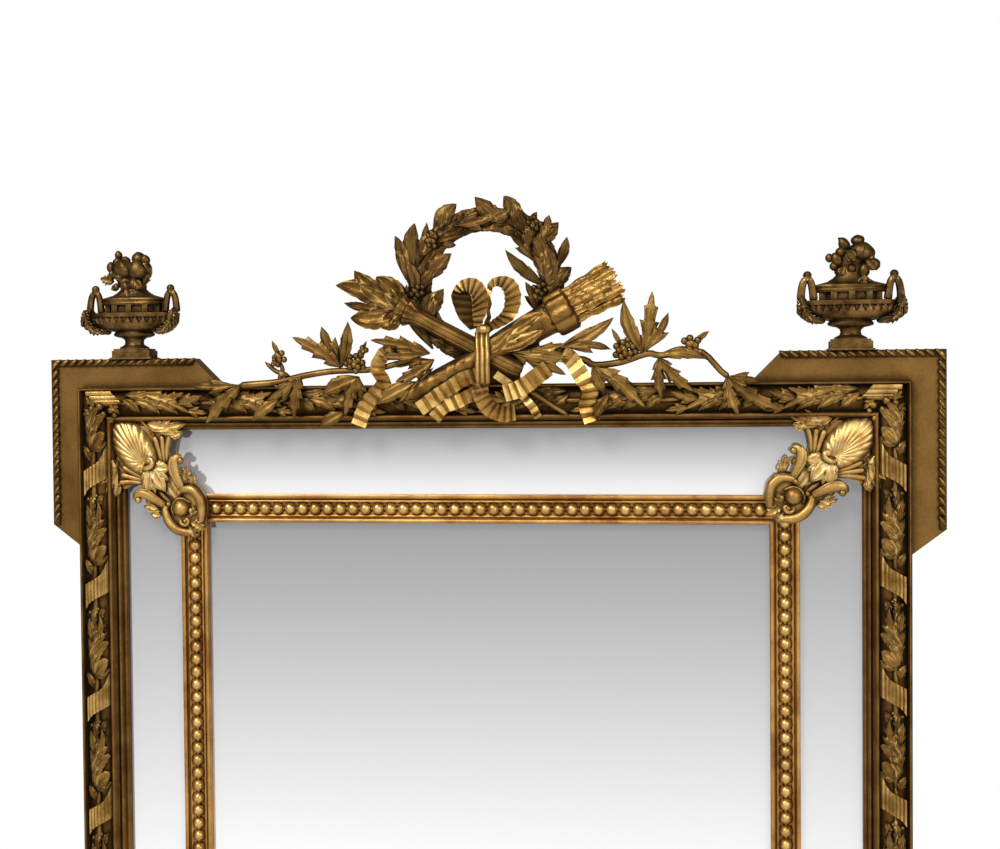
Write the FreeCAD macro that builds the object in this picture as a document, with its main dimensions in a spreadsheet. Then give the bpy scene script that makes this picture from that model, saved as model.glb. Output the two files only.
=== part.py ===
"""Trumeau mirror: a giltwood margin mirror with eared corners, urns and a carved crest.

X runs to the right, Y into the wall and Z up; the front faces -Y. The origin is the
centre of the back, on the middle rail. Sizes are in millimetres.

The frame is made in layers from the wall forward: a pine ground frame with backboards,
the mirror plates lying on them, the gilt mouldings and slips that hold the plates, and
the carved ornament that seats on the mouldings.
"""
import FreeCAD, Part
import math
import os
import re
import Sketcher
from FreeCAD import Vector

doc = FreeCAD.newDocument("trumeau_mirror")

# ---------------------------------------------------------------- driving sizes

SIZES = {
    # gilt frame, over its outer edges
    "frame_width": 1250,
    "frame_height": 1790,
    # pine ground frame and backboards
    "pine_thick": 22,
    "stile_width": 72,
    "middle_width": 90,
    "board_thick": 12,
    "board_rebate": 10,
    # mirror plates
    "plate_thick": 4,
    "plate_grip": 8,
    "plate_gap": 0.3,
    "margin_top": 100,
    "margin_side": 89,
    # rail moulding, from the outer edge inwards
    "rail_width": 66,
    "rail_depth": 40,
    "fillet_width": 5,
    "band_width": 40,
    "band_sink": 11,
    "astragal_width": 6,
    "astragal_drop": 8,
    "step_drop": 16,
    "step_width": 4,
    "sight_depth": 9,
    # slip moulding between the plates, and its row of pearls
    "slip_width": 43,
    "slip_depth": 12,
    "slip_floor": 8,
    "reed_width": 6,
    "strip_width": 16,
    "strip_thick": 2,
    "pearl_pitch": 19.7,
    "pearl_width": 14,
    "pearl_rise": 6,
    # ribbon and leaf garland in the rail's band
    "garland_gap": 0.3,
    "garland_pitch": 170,
    "garland_back": 2,
    "garland_rod": 12,
    "garland_rod_rise": 5.7,
    "leaf_reach": 112,
    "ribbon_width": 33,
    "ribbon_thick": 3,
    "ribbon_slant": 9,
    # eared corners
    "ear_over_side": 50,
    "ear_over_top": 44,
    "ear_top_arm": 230,
    "ear_side_arm": 258,
    "ear_side_slope": 38,
    "ear_back": 10,
    "ear_thick": 30,
    "rope_width": 10,
    "rope_strip": 3,
    "rope_rise": 4,
    "rope_pitch": 14,
    # loose tenons that join the ears and the crest to the frame
    "tenon_length": 60,
    "tenon_reach": 12,
    "tenon_thick": 6,
    "tenon_inset": 110,
    # corner cartouches and their shells
    "web_lift": 17,
    "web_thick": 6,
    "wing_reach": 62,
    "boss_inset": 17,
    "boss_width": 46,
    "boss_rise": 11,
    "shell_length": 92,
    "shell_width": 66,
    "shell_rise": 14,
    # urns
    "urn_inset": 82,
    "urn_centre_depth": 30,
    "plinth_width": 62,
    "plinth_thick": 36,
    "plinth_height": 16,
    "urn_width": 146,
    "urn_thick": 56,
    "urn_height": 90,
    "handle_inset": 15,
    "handle_width": 7,
    "handle_thick": 8,
    "bouquet_back": 12,
    "peg_width": 12,
    "peg_reach": 7,
    # crest
    "crest_shift": 14,
    "batten_width": 96,
    "batten_height": 62,
    "batten_thick": 14,
    "wreath_radius": 100,
    "wreath_lift": 145,
    "wreath_thick": 18,
    "laurel_width": 24,
    "laurel_rise": 14,
    "trophy_turn": 28,
    "binding_width": 20,
    "bow_width": 20,
    "bow_thick": 4,
    "end_width": 20,
    "stem_width": 8,
    "spray_rise": 12,
    "berry_radius": 11,
    # hangers let into the back of the stiles
    "hanger_lift": 480,
    "hanger_width": 18,
    "hanger_length": 72,
    "hanger_thick": 2,
    "recess_depth": 8,
    "recess_width": 38,
    "recess_length": 116,
    "recess_rise": 40,
    "ring_wire": 4,
    "ring_axis_depth": 3.7,
    "ring_play": 0.05,
    "ring_width": 26,
    "ring_drop": 25,
    "knuckle_length": 14,
    "knuckle_wall": 1.3,
    "screw_width": 4,
    "screw_head_width": 8,
    "screw_head_thick": 1.6,
    "screw_length": 12,
    "screw_inset": 10,
    "screw_spacing": 16,
}

sheet = doc.addObject("Spreadsheet::Sheet", "Sizes")
for row, (alias, value) in enumerate(SIZES.items(), start=1):
    sheet.set("A%d" % row, alias)
    sheet.set("B%d" % row, str(value))
    sheet.setAlias("B%d" % row, alias)
doc.recompute()

# ---------------------------------------------------------------- formulas, sketches and bodies

FORWARD = Vector(0, -1, 0)
nodes = []


def node(label, thing):
    """Names a finished sub-part and keeps it for export."""
    thing.Label = label
    nodes.append(thing)
    return thing


def formula(text):
    """Turns the size names in a formula into references to the sheet."""
    return re.sub(r"[a-z_]*[a-z]", lambda name: "Sizes." + name.group(), text)


def minus(text):
    return "-(%s)" % text


def amount(text):
    """Adds up a sum of size names, such as 'rail_width - plate_grip / 2'."""
    if text.startswith("-("):
        return -amount(text[2:-1])
    total, sign, last = 0.0, 1, 0.0
    words = text.split()
    for place, word in enumerate(words):
        if word in "+-":
            sign = 1 if word == "+" else -1
        elif place and words[place - 1] == "/":
            total += last / float(word) - last
        elif word != "/":
            last = sign * float(SIZES.get(word, 0) or word)
            total += last
            sign = 1
    return total


def origin_plane(body, role):
    return next(plane for plane in body.Origin.OriginFeatures if plane.Role == role)


def sketch_outline(body, plane, corners):
    """Draws a closed outline; a corner written with a leading 'through' bends its line."""
    sketch = body.newObject("Sketcher::SketchObject", body.Name + "_outline")
    sketch.AttachmentSupport = [(origin_plane(body, plane), "")]
    sketch.MapMode = "FlatFace"
    spots = [corner[-2:] for corner in corners]
    points = [Vector(amount(across), amount(up), 0) for across, up in spots]
    ends = [place for place, corner in enumerate(corners) if corner[0] != "through"]

    def pin(edge, end, place):
        for kind, value, text in zip(("DistanceX", "DistanceY"), points[place], spots[place]):
            index = sketch.addConstraint(Sketcher.Constraint(kind, -1, 1, edge, end, value))
            sketch.setExpression("Constraints[%d]" % index, formula(text))

    edges = []
    for first, second in zip(ends, ends[1:] + ends[:1]):
        bend = (first + 1) % len(points)
        if bend == second:
            edges.append(sketch.addGeometry(Part.LineSegment(points[first], points[second])))
            continue
        arc = sketch.addGeometry(Part.Arc(points[first], points[bend], points[second]))
        edges.append(arc)
    for place, edge in zip(ends, edges):
        following = edges[(edges.index(edge) + 1) % len(edges)]
        next_place = ends[(ends.index(place) + 1) % len(ends)]
        start, end = arc_ends(sketch, edge, points[place])
        next_start = arc_ends(sketch, following, points[next_place])[0]
        sketch.addConstraint(Sketcher.Constraint("Coincident", edge, end, following, next_start))
        pin(edge, start, place)
        bend = (place + 1) % len(points)
        if bend != next_place:
            mark = sketch.addGeometry(Part.Point(points[bend]), True)
            sketch.addConstraint(Sketcher.Constraint("PointOnObject", mark, 1, edge))
            pin(mark, 1, bend)
    return sketch


def arc_ends(sketch, edge, start):
    """Point numbers of an edge's start and end, for an arc drawn either way round."""
    if sketch.getPoint(edge, 1).distanceToPoint(start) < 0.01:
        return 1, 2
    return 2, 1


def padded(name, plane, corners, length, midplane=False):
    """Makes a body from one padded outline."""
    body = doc.addObject("PartDesign::Body", name)
    outline = sketch_outline(body, plane, corners)
    pad = body.newObject("PartDesign::Pad", name + "_pad")
    pad.Profile = outline
    pad.Midplane = midplane
    pad.setExpression("Length", formula(length))
    return body


def mitre(body, half, width):
    """Cuts both ends of a moulding back at 45 degrees from its outer edge inwards."""
    inner = half + " - " + width
    for end, inner_end in ((half, inner), (minus(half), minus(inner))):
        outline = sketch_outline(body, "XZ_Plane", [("0", end), (width, end), (width, inner_end)])
        pocket = body.newObject("PartDesign::Pocket", body.Name + "_mitre")
        pocket.Profile = outline
        pocket.Type = "ThroughAll"
        pocket.Midplane = True
    body.Tip = pocket


def move(thing, x, y, z):
    """Binds a thing's place to formulas."""
    for axis, text in zip("xyz", (x, y, z)):
        thing.setExpression("Placement.Base." + axis, formula(text))


def box(name, sides, place):
    thing = doc.addObject("Part::Box", name)
    for side, text in zip(("Length", "Width", "Height"), sides):
        thing.setExpression(side, formula(text))
    move(thing, *place)
    return thing


def rod(name, radius, length, place, turn):
    """A small turned pin, drawn with twelve flats."""
    thing = doc.addObject("Part::Prism", name)
    thing.Polygon = 12
    thing.setExpression("Circumradius", formula(radius))
    thing.setExpression("Height", formula(length))
    thing.Placement.Rotation = turn
    move(thing, *place)
    return thing


def group(name, things):
    joined = doc.addObject("Part::Compound", name)
    joined.Links = things
    return joined


def cut(name, base, tools):
    result = doc.addObject("Part::Cut", name)
    result.Base = base
    result.Tool = tools[0] if len(tools) == 1 else group(name + "_cutters", tools)
    return result


# Which way is inwards from each side of the frame.
SIDES = {
    "top": Vector(0, 0, -1),
    "bottom": Vector(0, 0, 1),
    "left": Vector(1, 0, 0),
    "right": Vector(-1, 0, 0),
}


def lies_across(side):
    return side in ("top", "bottom")


def place_on_side(thing, side, inset, depth):
    """Turns a piece drawn inwards along X, forwards along Y and lengthwise along Z onto a side."""
    inward = SIDES[side]
    thing.Placement.Rotation = FreeCAD.Rotation(inward, FORWARD, inward.cross(FORWARD), "XYZ")
    reach = "(frame_%s / 2 - (%s))" % ("height" if lies_across(side) else "width", inset)
    move(thing, reach + " * %d" % -inward.x, "-(%s)" % depth, reach + " * %d" % -inward.z)


# ---------------------------------------------------------------- faceted carving

def flat_face(points):
    return Part.Face(Part.makePolygon(points + points[:1]))


def skin(rings, closed=False):
    """Skins flat facets over a row of rings; a ring of one point is a tip."""
    faces = []
    pairs = list(zip(rings, rings[1:] + rings[:1] if closed else rings[1:]))
    for low, high in pairs:
        for place in range(max(len(low), len(high))):
            low_here, low_next = low[place % len(low)], low[(place + 1) % len(low)]
            high_here, high_next = high[place % len(high)], high[(place + 1) % len(high)]
            if len(low) > 1:
                faces.append(flat_face([low_here, low_next, high_here]))
            if len(high) > 1:
                faces.append(flat_face([low_next, high_next, high_here]))
    for end in ([] if closed else [rings[0], rings[-1]]):
        if len(end) > 1:
            faces.append(flat_face(end))
    solid = Part.makeSolid(Part.makeShell(faces))
    if solid.Volume < 0:
        solid.reverse()
    return solid


def lobe(root, tip, width, rise, belly=0.4):
    """One pointed leaf lobe with a raised midrib and a flat back facing the wall."""
    along = tip - root
    across = along.cross(FORWARD).normalize() * (width / 2)
    middle = root + along * belly
    return skin([[root], [middle + across, middle + FORWARD * rise, middle - across], [tip]])


def turned(vector, degrees):
    """A vector turned in the plane of the frame's front."""
    return FreeCAD.Rotation(FORWARD, degrees).multVec(vector)


# Leaf outlines from root to tip, for a leaf of length 1: one edge, mirrored for the other.
IVY = [(0.22, 0.10), (0.60, 0.36), (0.54, 0.13)]
ACANTHUS = [(0.10, 0.16), (0.30, 0.52), (0.40, 0.20), (0.72, 0.40), (0.70, 0.14)]


def leaf(root, tip, rise, edge=IVY, spread=1):
    """A lobed leaf, its facets rising from the outline to a crown on the midrib."""
    along = tip - root
    across = along.cross(FORWARD)
    near = [root + along * out + across * aside * spread for out, aside in edge]
    far = [root + along * out - across * aside * spread for out, aside in reversed(edge)]
    return skin([[root] + near + [tip] + far, [root + along * 0.42 + FORWARD * rise]])


def ball(centre, radius, back):
    """A faceted berry or bud, flattened where it meets the plane behind it."""
    rings = [[centre + Vector(0, 0, radius)]]
    for height, turn in ((0.45, 0), (-0.45, 30)):
        wide = radius * math.sqrt(1 - height * height)
        ring = [centre + Vector(wide * math.cos(math.radians(turn + 60 * step)),
                                wide * math.sin(math.radians(turn + 60 * step)),
                                radius * height) for step in range(6)]
        rings.append(ring)
    rings.append([centre - Vector(0, 0, radius)])
    block = 4 * radius
    behind = Part.makeBox(block, block, block, Vector(centre.x - block / 2, back, centre.z - block / 2))
    return skin(rings).cut(behind)


def strap(points, width, thick, lifts=(0,)):
    """A flat ribbon along a path in the front plane; lifts crimp it towards the viewer."""
    rings = []
    for place, point in enumerate(points):
        before, after = points[max(place - 1, 0)], points[min(place + 1, len(points) - 1)]
        across = (after - before).cross(FORWARD).normalize() * (width / 2)
        front = FORWARD * (thick + lifts[place % len(lifts)])
        rings.append([point + across, point + across + front, point - across + front, point - across])
    return skin(rings)


def spindle(start, heading, stations):
    """A flat-backed turned form along a heading: (distance, width, rise) at each station."""
    along = turned(Vector(1, 0, 0), heading)
    across = along.cross(FORWARD)
    rings = []
    for distance, width, rise in stations:
        middle = start + along * distance
        rings.append([middle + across * (width / 2), middle + across * (width / 3) + FORWARD * rise,
                      middle - across * (width / 3) + FORWARD * rise, middle - across * (width / 2)])
    return skin(rings)


def fused(solids):
    return solids[0].multiFuse(solids[1:]).removeSplitter() if len(solids) > 1 else solids[0]


def carving(label, shape, crumb=20):
    """Keeps a carved shape as a sub-part, without crumbs smaller than a few cubic mm."""
    thing = doc.addObject("Part::Feature", label)
    solids = [solid for solid in shape.Solids if solid.Volume > crumb]
    thing.Shape = solids[0] if len(solids) == 1 else Part.makeCompound(solids)
    return node(label, thing)


def slab(points, thick):
    """A flat piece with its back on the plane of its points."""
    return flat_face(points).extrude(FORWARD * thick)


def polygon(centre, radius, sides):
    return [centre + turned(Vector(radius, 0, 0), 360 * step / sides) for step in range(sides)]


# ---------------------------------------------------------------- levels and edges from the sizes

half_width = SIZES["frame_width"] / 2
half_height = SIZES["frame_height"] / 2
plate_front = SIZES["pine_thick"] + SIZES["plate_thick"]
rail_front = SIZES["pine_thick"] + SIZES["rail_depth"]
ear_front = SIZES["ear_back"] + SIZES["ear_thick"]
ear_top = half_height + SIZES["ear_over_top"]


def side_spot(side, inset, along, depth):
    """A point at an inset from a side's outer edge, along the side from its middle."""
    inward = SIDES[side]
    reach = half_height if lies_across(side) else half_width
    run = Vector(1, 0, 0) if lies_across(side) else Vector(0, 0, 1)
    return inward * (inset - reach) + run * along + FORWARD * depth


def mitred_slab(side, near, far, near_half, depth, thick):
    """A strip along a side between two insets, its ends cut back at 45 degrees."""
    far_half = near_half - (far - near)
    corners = [(near, -near_half), (near, near_half), (far, far_half), (far, -far_half)]
    return slab([side_spot(side, inset, along, depth) for inset, along in corners], thick)


# ---------------------------------------------------------------- pine ground frame and backboards

ground = [("0", "0"), ("stile_width", "0"), ("stile_width", "pine_thick - board_thick"),
          ("stile_width - board_rebate", "pine_thick - board_thick"),
          ("stile_width - board_rebate", "pine_thick"), ("0", "pine_thick")]
pine = {}
for side in SIDES:
    length = "frame_width - stile_width * 2" if lies_across(side) else "frame_height"
    pine[side] = padded("pine_" + side, "XY_Plane", ground, length, midplane=True)
    place_on_side(pine[side], side, "0", "0")

middle_sides = ("frame_width - stile_width * 2", "pine_thick - board_thick", "middle_width")
middle_place = ("stile_width - frame_width / 2", "board_thick - pine_thick", "-middle_width / 2")
node("middle_rail", box("middle_rail", middle_sides, middle_place))
board_sides = ("frame_width - (stile_width - board_rebate) * 2", "board_thick",
               "frame_height / 2 - stile_width + board_rebate")
board_left = "stile_width - board_rebate - frame_width / 2"
lower_foot = "stile_width - board_rebate - frame_height / 2"
node("backboard_upper", box("backboard_upper", board_sides, (board_left, "-pine_thick", "0")))
node("backboard_lower", box("backboard_lower", board_sides, (board_left, "-pine_thick", lower_foot)))

# ---------------------------------------------------------------- mirror plates

outer_x = "frame_width / 2 - rail_width + plate_grip - plate_gap"
outer_z = "frame_height / 2 - rail_width + plate_grip - plate_gap"
inner_x = "frame_width / 2 - rail_width - margin_side - plate_grip + plate_gap"
inner_z = "frame_height / 2 - rail_width - margin_top - plate_grip + plate_gap"
PLATES = {
    "top": [(minus(outer_x), outer_z), (outer_x, outer_z),
            (inner_x, inner_z), (minus(inner_x), inner_z)],
    "bottom": [(minus(outer_x), minus(outer_z)), (outer_x, minus(outer_z)),
               (inner_x, minus(inner_z)), (minus(inner_x), minus(inner_z))],
    "left": [(minus(outer_x), outer_z), (minus(inner_x), inner_z),
             (minus(inner_x), minus(inner_z)), (minus(outer_x), minus(outer_z))],
    "right": [(outer_x, outer_z), (inner_x, inner_z),
              (inner_x, minus(inner_z)), (outer_x, minus(outer_z))],
}
for side, corners in PLATES.items():
    margin_plate = padded("plate_" + side, "XZ_Plane", corners, "plate_thick")
    move(margin_plate, "0", "-pine_thick", "0")
    node("plate_" + side, margin_plate)

centre_x = "frame_width / 2 - rail_width - margin_side - slip_width + plate_grip - plate_gap"
centre_z = "frame_height / 2 - rail_width - margin_top - slip_width + plate_grip - plate_gap"
centre_sides = ("(%s) * 2" % centre_x, "plate_thick", "(%s) * 2" % centre_z)
node("plate_centre", box("plate_centre", centre_sides,
                         (minus(centre_x), "-(pine_thick + plate_thick)", minus(centre_z))))

# ---------------------------------------------------------------- gilt mouldings

band_end = "fillet_width + band_width"
astragal_end = "fillet_width + band_width + astragal_width"
astragal_top = "rail_depth - astragal_drop"
step_end = astragal_end + " + step_width"
step_top = "rail_depth - step_drop"
rail_profile = [
    ("0", "0"), ("0", "rail_depth"), ("fillet_width", "rail_depth"),
    ("fillet_width", "rail_depth - band_sink"),
    (band_end, "rail_depth - band_sink"), (band_end, astragal_top),
    ("through", band_end + " + astragal_width / 2", astragal_top + " + astragal_width / 2"),
    (astragal_end, astragal_top), (astragal_end, step_top), (step_end, step_top),
    ("through", step_end + " + step_width / 2", "sight_depth + step_width"),
    ("rail_width", "sight_depth"), ("rail_width", "plate_thick + plate_gap"),
    ("rail_width - plate_grip", "plate_thick + plate_gap"), ("rail_width - plate_grip", "0")]
mouldings = {}
for side in SIDES:
    half = "frame_width / 2" if lies_across(side) else "frame_height / 2"
    mouldings[side] = padded("rail_run_" + side, "XY_Plane", rail_profile, half + " * 2", midplane=True)
    mitre(mouldings[side], half, "rail_width")
    place_on_side(mouldings[side], side, "0", "pine_thick")

# ---------------------------------------------------------------- slips between the plates, with pearls

slip_profile = [
    ("plate_grip", "0"), ("plate_grip", "plate_thick + plate_gap"), ("0", "plate_thick + plate_gap"),
    ("0", "slip_depth"), ("through", "reed_width / 2", "slip_depth + reed_width / 2"),
    ("reed_width", "slip_depth"), ("reed_width", "slip_floor"),
    ("slip_width - reed_width", "slip_floor"),
    ("slip_width - reed_width", "slip_depth"),
    ("through", "slip_width - reed_width / 2", "slip_depth + reed_width / 2"),
    ("slip_width", "slip_depth"), ("slip_width", "plate_thick + plate_gap"),
    ("slip_width - plate_grip", "plate_thick + plate_gap"), ("slip_width - plate_grip", "0")]


def pearl_row(side):
    """A carved strip lying in a slip, with a pearl on it at every pitch."""
    slip_edge = amount("rail_width + margin_top" if lies_across(side) else "rail_width + margin_side")
    slip_half = amount("frame_width / 2 - rail_width - margin_side" if lies_across(side)
                       else "frame_height / 2 - rail_width - margin_top")
    inset = amount("slip_width / 2 - strip_width / 2")
    floor = amount("pine_thick + slip_floor")
    strip = mitred_slab(side, slip_edge + inset, slip_edge + inset + SIZES["strip_width"],
                        slip_half - inset, floor, SIZES["strip_thick"])
    half_run = slip_half - amount("slip_width / 2 + pearl_width / 2")
    count = int(half_run / SIZES["pearl_pitch"])
    pearls = []
    for place in range(-count, count + 1):
        foot = side_spot(side, slip_edge + SIZES["slip_width"] / 2, place * SIZES["pearl_pitch"],
                         floor + SIZES["strip_thick"])
        crown = foot + FORWARD * SIZES["pearl_rise"]
        pearls.append(skin([polygon(foot, SIZES["pearl_width"] / 2, 6), [crown]]))
    return strip.multiFuse(pearls)


for side in SIDES:
    half = ("frame_width / 2 - rail_width - margin_side" if lies_across(side)
            else "frame_height / 2 - rail_width - margin_top")
    slip = padded("slip_" + side, "XY_Plane", slip_profile, "(%s) * 2" % half, midplane=True)
    mitre(slip, half, "slip_width")
    margin = "margin_top" if lies_across(side) else "margin_side"
    place_on_side(slip, side, "rail_width + " + margin, "pine_thick")
    node("slip_" + side, slip)
    carving("pearls_" + side, pearl_row(side))

# ---------------------------------------------------------------- garlands in the band of the rail


def garland(side):
    """A rod wound with leaves and crossed by ribbons, carved on a strip that fills the band."""
    near = SIZES["fillet_width"] + SIZES["garland_gap"]
    far = SIZES["fillet_width"] + SIZES["band_width"] - SIZES["garland_gap"]
    middle = (near + far) / 2
    reach = half_width if lies_across(side) else half_height
    floor = rail_front - SIZES["band_sink"]
    face = floor + SIZES["garland_back"]
    rise = rail_front - face - SIZES["garland_gap"]
    run = (side_spot(side, 0, 1, 0) - side_spot(side, 0, 0, 0))
    inward = SIDES[side]

    def spot(along, aside=0):
        return side_spot(side, middle + aside, along, face)

    end = reach - middle
    parts = [mitred_slab(side, near, far, reach - near, floor, SIZES["garland_back"])]
    parts.append(strap([spot(-end), spot(end)], SIZES["garland_rod"], SIZES["garland_rod_rise"]))
    cells = round(end / SIZES["garland_pitch"])
    pitch = end / cells
    half_ribbon = SIZES["band_width"] / 2
    slant = SIZES["ribbon_slant"] * (1 if side in ("left", "bottom") else -1)
    between = [pitch * (step + 0.5) for step in range(-cells, cells)]
    ribbons = [-end, end] if lies_across(side) else between
    leaves = between if lies_across(side) else [pitch * step for step in range(1 - cells, cells)]
    arch = rise - SIZES["ribbon_thick"]
    for along in ribbons:
        path = [spot(along + slant * share, half_ribbon * share) for share in (-1, -0.3, 0.3, 1)]
        parts.append(strap(path, SIZES["ribbon_width"], SIZES["ribbon_thick"], (0, arch, arch, 0)))
    for centre in leaves:
        growth = (-1 if centre > 0 else 1) if lies_across(side) else 1
        root = spot(centre - growth * SIZES["leaf_reach"] / 2)
        tip = spot(centre + growth * SIZES["leaf_reach"] / 2)
        parts.append(leaf(root, tip, rise, IVY, 0.5))
    channel = mitred_slab(side, near, far, reach - near, floor, rail_front - floor)
    return fused(parts).common(channel)


for side in SIDES:
    carving("garland_" + side, garland(side))

# ---------------------------------------------------------------- eared corners with rope trim

ear_outline = [
    ("ear_over_side", "ear_over_top"), ("ear_over_side - ear_top_arm", "ear_over_top"),
    ("ear_over_side - ear_top_arm - ear_over_top", "0"), ("0", "0"),
    ("0", "ear_over_top - ear_side_arm - ear_side_slope"),
    ("ear_over_side", "ear_over_top - ear_side_arm")]


def rope(side):
    """Twisted rope along the top and outer edge of an ear: slanted strands on a strip."""
    corner = Vector(side * (half_width + SIZES["ear_over_side"]), -ear_front, ear_top)
    inward = Vector(-side, 0, 0)
    down = Vector(0, 0, -1)
    wide = SIZES["rope_width"]
    arms = ((inward, down, SIZES["ear_top_arm"]), (down, inward, SIZES["ear_side_arm"]))
    parts = []
    for run, aside, reach in arms:
        outer_end, inner_end = corner + run * reach, corner + run * (reach - wide) + aside * wide
        parts.append(slab([corner, outer_end, inner_end, corner + aside * wide], SIZES["rope_strip"]))
        for strand in range(int((reach - wide) / SIZES["rope_pitch"])):
            start = corner + run * (wide + strand * SIZES["rope_pitch"]) + FORWARD * SIZES["rope_strip"]
            parts.append(lobe(start, start + run * wide + aside * wide, wide, SIZES["rope_rise"], 0.5))
    return fused(parts)


ears = {}
for side, sign in (("left", -1), ("right", 1)):
    corners = [(minus(across), up) if sign < 0 else (across, up) for across, up in ear_outline]
    ears[side] = padded("ear_board_" + side, "XZ_Plane", corners, "ear_thick")
    move(ears[side], "frame_width / 2 * %d" % sign, "-ear_back", "frame_height / 2")
    carving("rope_" + side, rope(sign))

# ---------------------------------------------------------------- corner cartouches and shells

CORNERS = {"top_left": (-1, 1), "top_right": (1, 1), "bottom_left": (-1, -1), "bottom_right": (1, -1)}
web_back = SIZES["pine_thick"] + SIZES["web_lift"]
web_front = web_back + SIZES["web_thick"]


def corner_spots(side_x, side_z):
    """Gives a function that places points along and across a line from the rail's corner to the slip's."""
    sight_x, sight_z = half_width - SIZES["rail_width"], half_height - SIZES["rail_width"]
    corner = Vector(side_x * sight_x, 0, side_z * sight_z)
    run = Vector(-side_x * SIZES["margin_side"], 0, -side_z * SIZES["margin_top"]).normalize()
    aside = Vector(-side_x * SIZES["margin_top"], 0, side_z * SIZES["margin_side"]).normalize()
    return lambda along, across, depth: corner + run * along + aside * across + FORWARD * depth


def cartouche(spot):
    """The carved web over a corner, seated on the plates: scrolls, a leaf spray and a boss."""
    slip_corner = math.hypot(SIZES["margin_top"], SIZES["margin_side"])
    boss = slip_corner + SIZES["boss_inset"]
    wing = SIZES["wing_reach"]
    seat = [(16, -8), (16, 8), (slip_corner - 3, 8), (slip_corner - 3, -8)]
    web = [(40, -14), (40, 14), (boss - 60, 16), (boss - 48, wing * 0.7), (boss - 30, wing),
           (boss - 12, wing * 0.9), (boss + 6, 34), (boss + 30, 20)]
    web = web + [(along, -across) for along, across in reversed(web[2:])]
    parts = [slab([spot(along, across, plate_front) for along, across in seat], web_back - plate_front),
             slab([spot(along, across, web_back) for along, across in web], SIZES["web_thick"])]
    centre = spot(boss, 0, web_front)
    parts.append(skin([polygon(centre, SIZES["boss_width"] / 2, 8),
                       polygon(centre + FORWARD * SIZES["boss_rise"], SIZES["boss_width"] / 4, 8)]))
    parts.append(leaf(spot(boss - 26, 0, web_front), spot(boss - 84, 0, web_front), 11, ACANTHUS))
    for side in (-1, 1):
        scroll = [spot(boss - 22 + 20 * math.sin(turn), side * (wing * 0.62 + 16 * math.cos(turn)),
                       web_front) for turn in (-1.2, -0.2, 0.8, 1.8, 2.8)]
        parts.append(strap(scroll, 8, 7))
        parts.append(lobe(spot(64, side * 6, web_back), spot(58, side * 50, web_back), 18, 11, 0.5))
    return fused(parts)


def shell(spot):
    """A ribbed scallop whose flutes fan from the leaf spray out to the rail's corner."""
    half_long, half_wide = SIZES["shell_length"] / 2, SIZES["shell_width"] / 2
    back, front = [spot(half_long * 2, 0, web_front)], [spot(half_long * 2, 0, web_front + 4)]
    for step in range(-8, 9):
        turn = math.radians(step * 15)
        along, across = half_long - half_long * math.cos(turn), half_wide * math.sin(turn)
        back.append(spot(along, across, web_front))
        front.append(spot(along, across, web_front + (4 if step % 2 else 9)))
    return skin([back, front, [spot(half_long * 1.7, 0, web_front + SIZES["shell_rise"])]])


for corner, sides in CORNERS.items():
    spot = corner_spots(*sides)
    web = carving("cartouche_" + corner, cartouche(spot))
    carving("shell_" + corner, shell(spot).cut(web.Shape))

# ---------------------------------------------------------------- urns with fruit and flowers

plinth_top = ear_top + SIZES["plinth_height"]


# Sections of foot, bowl, neck and lid: height over the plinth, half width and half thickness.
half_bowl, half_thick = SIZES["urn_width"] / 2, SIZES["urn_thick"] / 2
URN_SECTIONS = [
    (0, 22, 15), (5, 15, 12), (12, 14, 11), (17, 20, 14), (22, 34, 18), (28, 52, 23),
    (36, half_bowl - 3, half_thick - 1), (56, half_bowl, half_thick), (59, 60, 25), (60, 42, 20),
    (69, 40, 19), (71, 52, 22), (80, 52, 22), (83, 42, 19), (SIZES["urn_height"], 20, 12)]
URN_SIDES = 12
# Bends of a handle: across from its middle and up from the plinth.
HANDLE = [(-9, 55), (-11, 84), (-6, 98), (2, 102), (9, 98), (12, 84), (10, 55)]
# Fruit on the lid: across, up and radius; leaves: root and tip, across and up.
FRUIT = [(-3, 15, 18), (16, 28, 12), (-14, 34, 11), (4, 46, 9)]
FRUIT_LEAVES = [((0, 8), (-40, 22)), ((0, 8), (36, 24)), ((0, 30), (14, 62))]


def urn(centre_x):
    """An oval urn on a square plinth, with two looped handles."""
    centre = Vector(centre_x, -SIZES["urn_centre_depth"], plinth_top)
    around = [2 * math.pi * step / URN_SIDES for step in range(URN_SIDES)]
    rings = [[centre + Vector(wide * math.cos(turn), thick * math.sin(turn), height) for turn in around]
             for height, wide, thick in URN_SECTIONS]
    wide, thick, height = SIZES["plinth_width"], SIZES["plinth_thick"], SIZES["plinth_height"]
    plinth = Part.makeBox(wide, thick, height, centre - Vector(wide / 2, thick / 2, height))
    parts = [skin(rings), plinth]
    for side in (-1, 1):
        middle = side * (half_bowl - SIZES["handle_inset"])
        path = [centre + Vector(middle + across, SIZES["handle_thick"] / 2, up) for across, up in HANDLE]
        parts.append(strap(path, SIZES["handle_width"], SIZES["handle_thick"]))
    return fused(parts)


def bouquet(centre_x, mirror):
    """Fruit, a rose and leaves heaped on the urn's lid."""
    lid = plinth_top + SIZES["urn_height"]
    centre = Vector(centre_x, -SIZES["urn_centre_depth"], lid)
    back = SIZES["bouquet_back"] - SIZES["urn_centre_depth"]
    parts = [ball(centre + Vector(mirror * across, 0, up), radius, back) for across, up, radius in FRUIT]
    for root, tip in FRUIT_LEAVES:
        start, end = (centre + Vector(mirror * across, 4, up) for across, up in (root, tip))
        parts.append(lobe(start, end, 15, 12))
    wide = SIZES["urn_width"]
    below = Part.makeBox(wide, wide, wide, centre - Vector(wide / 2, wide / 2, wide))
    return fused(parts).cut(below)


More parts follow.
